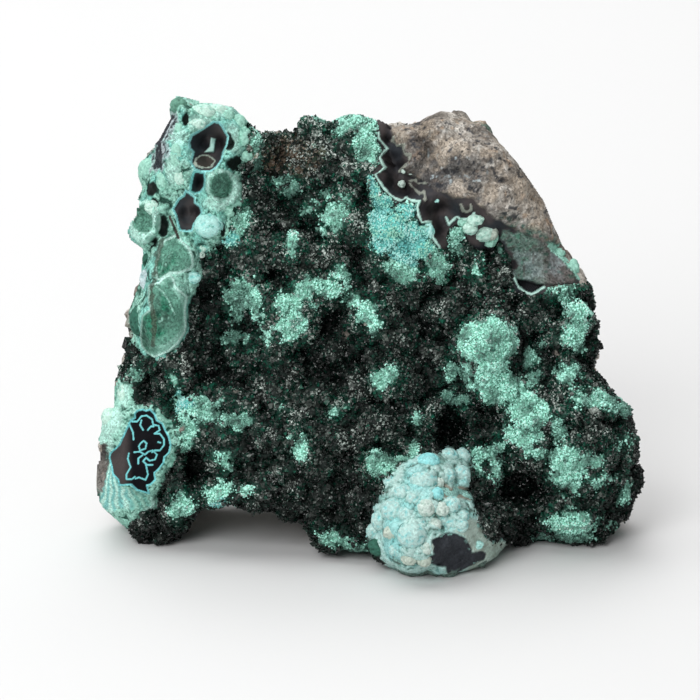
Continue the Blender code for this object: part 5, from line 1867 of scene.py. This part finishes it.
def crystal_looks(corner, picker):
    """Colour and share of bright facets of each crystal, from the nearest point of the skin.

    They have painted shade in the crust's hollows, are greener near the growths and browner in the
    upper basin; their share of bright facets is painted glints.
    """
    skin = stone()
    count = len(corner)
    crest, halo = skin.crest[corner], skin.zones.halo[corner]
    places = skin.points[corner]
    brown = knob(oval_distance(places[:, 0], places[:, 1], BROWN_BASIN))
    green = colours().crystal_green
    # Greyer at random and more so on the crests: partly the crystals' own tone, partly painted sheen.
    tint = blend(flat_tint(colours().crystal, count), CRYSTAL_GREY_SHEEN, crest * picker.random(count) ** 2)
    tint = blend(tint, toned(green, 0.35), 1.0 * (picker.random(count) < 0.35 + 0.2 * halo))
    tint = blend(tint, green, 1.0 * (picker.random(count) < 0.05 + 0.35 * halo))
    tint = blend(tint, CRYSTAL_BROWN, brown * picker.random(count))
    # Lighter, with more painted glints, towards the top; painted shade darkens the crystals low in the hollows.
    upward = 1.2 + 0.017 * places[:, 1]
    return tint * (upward * (0.3 + 1.1 * crest))[:, None], skin.painted_glints[corner] * upward


class MALACHITE_OT_crystals(bpy.types.Operator):
    """Covers the dark crust with small crystals"""

    bl_idname = "malachite.crystals"
    bl_label = "Dark Crystals"

    def execute(self, context):
        """Scatters blocks over the whole crust and splinters over each half of it."""
        skin = stone()
        material = mineral_material("dark_crystal", 3400.0, 0.7, 1.2, specular=0.35)
        picker = np.random.default_rng(5)
        druse = skin.zones.druse**2
        left = skin.points[:, 0] < CRUST_MIDDLE
        batches = (
            ("crystal_blocks", BLOCK_SHAPE, BLOCK_FACES, druse, sizes().blocks, sizes().block_size),
            (
                "crystal_splinters_left",
                SPLINTER_SHAPE,
                SPLINTER_FACES,
                druse * left,
                sizes().splinters,
                sizes().splinter_size,
            ),
            (
                "crystal_splinters_right",
                SPLINTER_SHAPE,
                SPLINTER_FACES,
                druse * ~left,
                sizes().splinters,
                sizes().splinter_size,
            ),
        )
        for seed, (name, shape, shape_faces, weight, number, width) in enumerate(batches):
            count = fewer(number)
            places, normals, corner = skin.scatter(count, weight, seed=17 + seed)
            size = width * picker.lognormal(-0.1, 0.3, size=count)
            stretch = picker.uniform(0.8, 1.7, size=count)
            slim = picker.uniform(0.6, 1.0, size=count)
            scale = np.stack([size, size * slim, size * stretch], axis=1)
            frames = turned_frames(normals, 0.5, picker)
            points, faces = joined_copies(shape, shape_faces, places, frames, scale)
            tint, painted_glints = crystal_looks(corner, picker)
            piece = new_piece(name, points, faces, [material])
            each = len(shape)
            dress(piece, np.repeat(tint, each, axis=0), 0.25, 1.0, np.repeat(painted_glints, each))
        return {"FINISHED"}


class MALACHITE_OT_grains(bpy.types.Operator):
    """Covers the mint and blue growths with matt grains"""

    bl_idname = "malachite.grains"
    bl_label = "Mint and Blue Grains"

    def execute(self, context):
        """Scatters rounded grains, pale and middle ones over the dark gaps of the skin."""
        skin = stone()
        picker = np.random.default_rng(7)
        count = fewer(sizes().grains)
        zones = skin.zones
        places, normals, corner = skin.scatter(count, np.maximum(zones.mint, zones.blue), seed=29)
        width = sizes().grain_size * picker.lognormal(-0.05, 0.3, size=count)
        scale = np.stack([width, width, width * picker.uniform(0.7, 1.4, size=count)], axis=1)
        frames = turned_frames(normals, 0.5, picker)
        points, faces = joined_copies(GRAIN_SHAPE, GRAIN_FACES, places + 0.08 * normals, frames, scale)
        cloudy = rough_noise(places, 2.4, seed=307)
        # Painted shade and light: low grains are darker, high ones lighter, by the crust's crest; cloud and
        # chance vary the tone too.
        level = 0.25 + 0.6 * skin.crest[corner] + 0.45 * cloudy + 0.35 * (picker.random(count) - 0.5)
        tint = blend(flat_tint(toned(colours().mint, 0.35), count), colours().mint, smooth_step(level))
        tint = blend(tint, toned(colours().mint, 1.45), smooth_step(1.6 * level - 0.7))
        # Painted shade of holes: dark spots placed by noise.
        painted_hole_shade = smooth_step((smooth_noise(places, 1.1, seed=457) - 0.38) / 0.25)
        tint = blend(tint, toned(colours().mint, 0.15), 0.75 * painted_hole_shade)
        blue = blend(flat_tint(BLUE_DEEP, count), colours().blue, smooth_step(1.2 * level))
        teal = smooth_step(1.5 * rough_noise(places, 3.0, seed=349) - 0.2)
        blue = blend(blue, BLUE_DEEP, 0.6 * teal)
        blue = blend(blue, colours().mint, smooth_step(0.2 - 1.2 * cloudy))
        is_blue = picker.random(count) < zones.blue[corner]
        tint = np.where(is_blue[:, None], blue, tint)
        tint = blend(tint, MINT_DARK, 1.0 * (picker.random(count) < 0.04))
        material = mineral_material("mint_grain", 4200.0, 0.4, 0.4, painted_glint=PAINTED_MINT_GLINT)
        piece = new_piece("mint_and_blue_grains", points, faces, [material], smooth=True)
        # Painted glints on the paler grains.
        painted_glints = 0.28 * smooth_step(1.4 * level - 0.6)
        each = len(GRAIN_SHAPE)
        dress(piece, np.repeat(tint, each, axis=0), painted_glints=np.repeat(painted_glints, each))
        return {"FINISHED"}


class MALACHITE_OT_stage(bpy.types.Operator):
    """Sets a pale floor, soft lights and a camera square on the face"""

    bl_idname = "malachite.stage"
    bl_label = "Stage"

    def execute(self, context):
        """Lays the floor, hangs the lights and aims the camera."""
        scene = context.scene
        paper = plain_material("floor_paper", (0.72, 0.72, 0.72), 0.9, specular=0.1)
        reach = 3.0
        corners = [(-reach, -reach, 0.0), (reach, -reach, 0.0), (reach, reach, 0.0)]
        corners.append((-reach, reach, 0.0))
        floor_mesh = bpy.data.meshes.new("pale_floor")
        floor_mesh.from_pydata(corners, [], [(0, 1, 2, 3)])
        floor_mesh.materials.append(paper)
        floor = bpy.data.objects.new("pale_floor", floor_mesh)
        scene.collection.objects.link(floor)

        world = bpy.data.worlds.new("studio")
        world.use_nodes = True
        backdrop = world.node_tree.nodes["Background"]
        backdrop.inputs["Color"].default_value = (1.0, 1.0, 1.0, 1.0)
        backdrop.inputs["Strength"].default_value = 0.27
        scene.world = world
        self.lamp(scene, "softbox_above", (-0.22, 0.16, 0.86), 1.0, 7.0)
        self.lamp(scene, "softbox_front", (-0.35, -0.75, 0.6), 0.5, 6.2)
        self.lamp(scene, "background_light", (0.0, 0.62, 0.7), 0.5, 2.5, aim=(0.0, 0.621, 0.0))
        scene.view_settings.view_transform = "Standard"
        self.camera(scene)
        return {"FINISHED"}

    def lamp(self, scene, name, place, size, watts, aim=(0.0, 0.0, 0.03)):
        """Hangs a square softbox that faces the stone, or else the place it is aimed at."""
        light = bpy.data.lights.new(name, "AREA")
        light.size = size
        light.energy = watts
        lamp = bpy.data.objects.new(name, light)
        lamp.location = place
        way = np.array(aim) - np.array(place)
        flat = math.hypot(way[0], way[1])
        lamp.rotation_euler = (math.atan2(flat, -way[2]), 0.0, math.atan2(-way[0], way[1]))
        scene.collection.objects.link(lamp)

    def camera(self, scene):
        """Aims a long lens along the face's own direction, framed as the photograph is."""
        lens = bpy.data.cameras.new("camera")
        lens.sensor_width = 36.0
        lens.lens = 300.0
        lens.clip_start = 0.01
        frame_width = 0.700 / 6.0
        distance = frame_width * lens.lens / lens.sensor_width
        middle = stand_up(np.array([[-2.5, -2.5, 4.0]]))[0]
        camera = bpy.data.objects.new("camera", lens)
        camera.location = (
            middle[0],
            middle[1] - distance * math.cos(FACE_LEAN),
            middle[2] + distance * math.sin(FACE_LEAN),
        )
        camera.rotation_euler = (0.5 * math.pi - FACE_LEAN, 0.0, 0.0)
        scene.collection.objects.link(camera)
        scene.camera = camera


OPERATORS = (
    MALACHITE_OT_skin,
    MALACHITE_OT_left_margin,
    MALACHITE_OT_left_foot,
    MALACHITE_OT_matrix,
    MALACHITE_OT_knobs,
    MALACHITE_OT_lobe,
    MALACHITE_OT_crystals,
    MALACHITE_OT_grains,
    MALACHITE_OT_stage,
)


class MALACHITE_PT_pieces(bpy.types.Panel):
    """Lists the specimen's sizes, colours and pieces"""

    bl_idname = "MALACHITE_PT_pieces"
    bl_label = "Malachite Specimen"
    bl_space_type = "VIEW_3D"
    bl_region_type = "UI"
    bl_category = "Malachite"

    def draw(self, context):
        """Draws the properties and one button for each operator."""
        for group in (context.scene.malachite_sizes, context.scene.malachite_colours):
            for name in group.__annotations__:
                self.layout.prop(group, name)
        for operator in OPERATORS:
            self.layout.operator(operator.bl_idname)


CLASSES = (MalachiteCrystalSizes, MalachiteColours, *OPERATORS, MALACHITE_PT_pieces)


def register():
    """Registers the classes and the properties that they share."""
    for item in CLASSES:
        bpy.utils.register_class(item)
    bpy.types.Scene.malachite_sizes = bpy.props.PointerProperty(type=MalachiteCrystalSizes)
    bpy.types.Scene.malachite_colours = bpy.props.PointerProperty(type=MalachiteColours)


def unregister():
    """Removes the shared properties and the classes."""
    del bpy.types.Scene.malachite_colours
    del bpy.types.Scene.malachite_sizes
    for item in reversed(CLASSES):
        bpy.utils.unregister_class(item)


def main():
    """Builds every piece in order."""
    register()
    for operator in OPERATORS:
        group, name = operator.bl_idname.split(".")
        getattr(getattr(bpy.ops, group), name)()


if __name__ == "__main__":
    main()
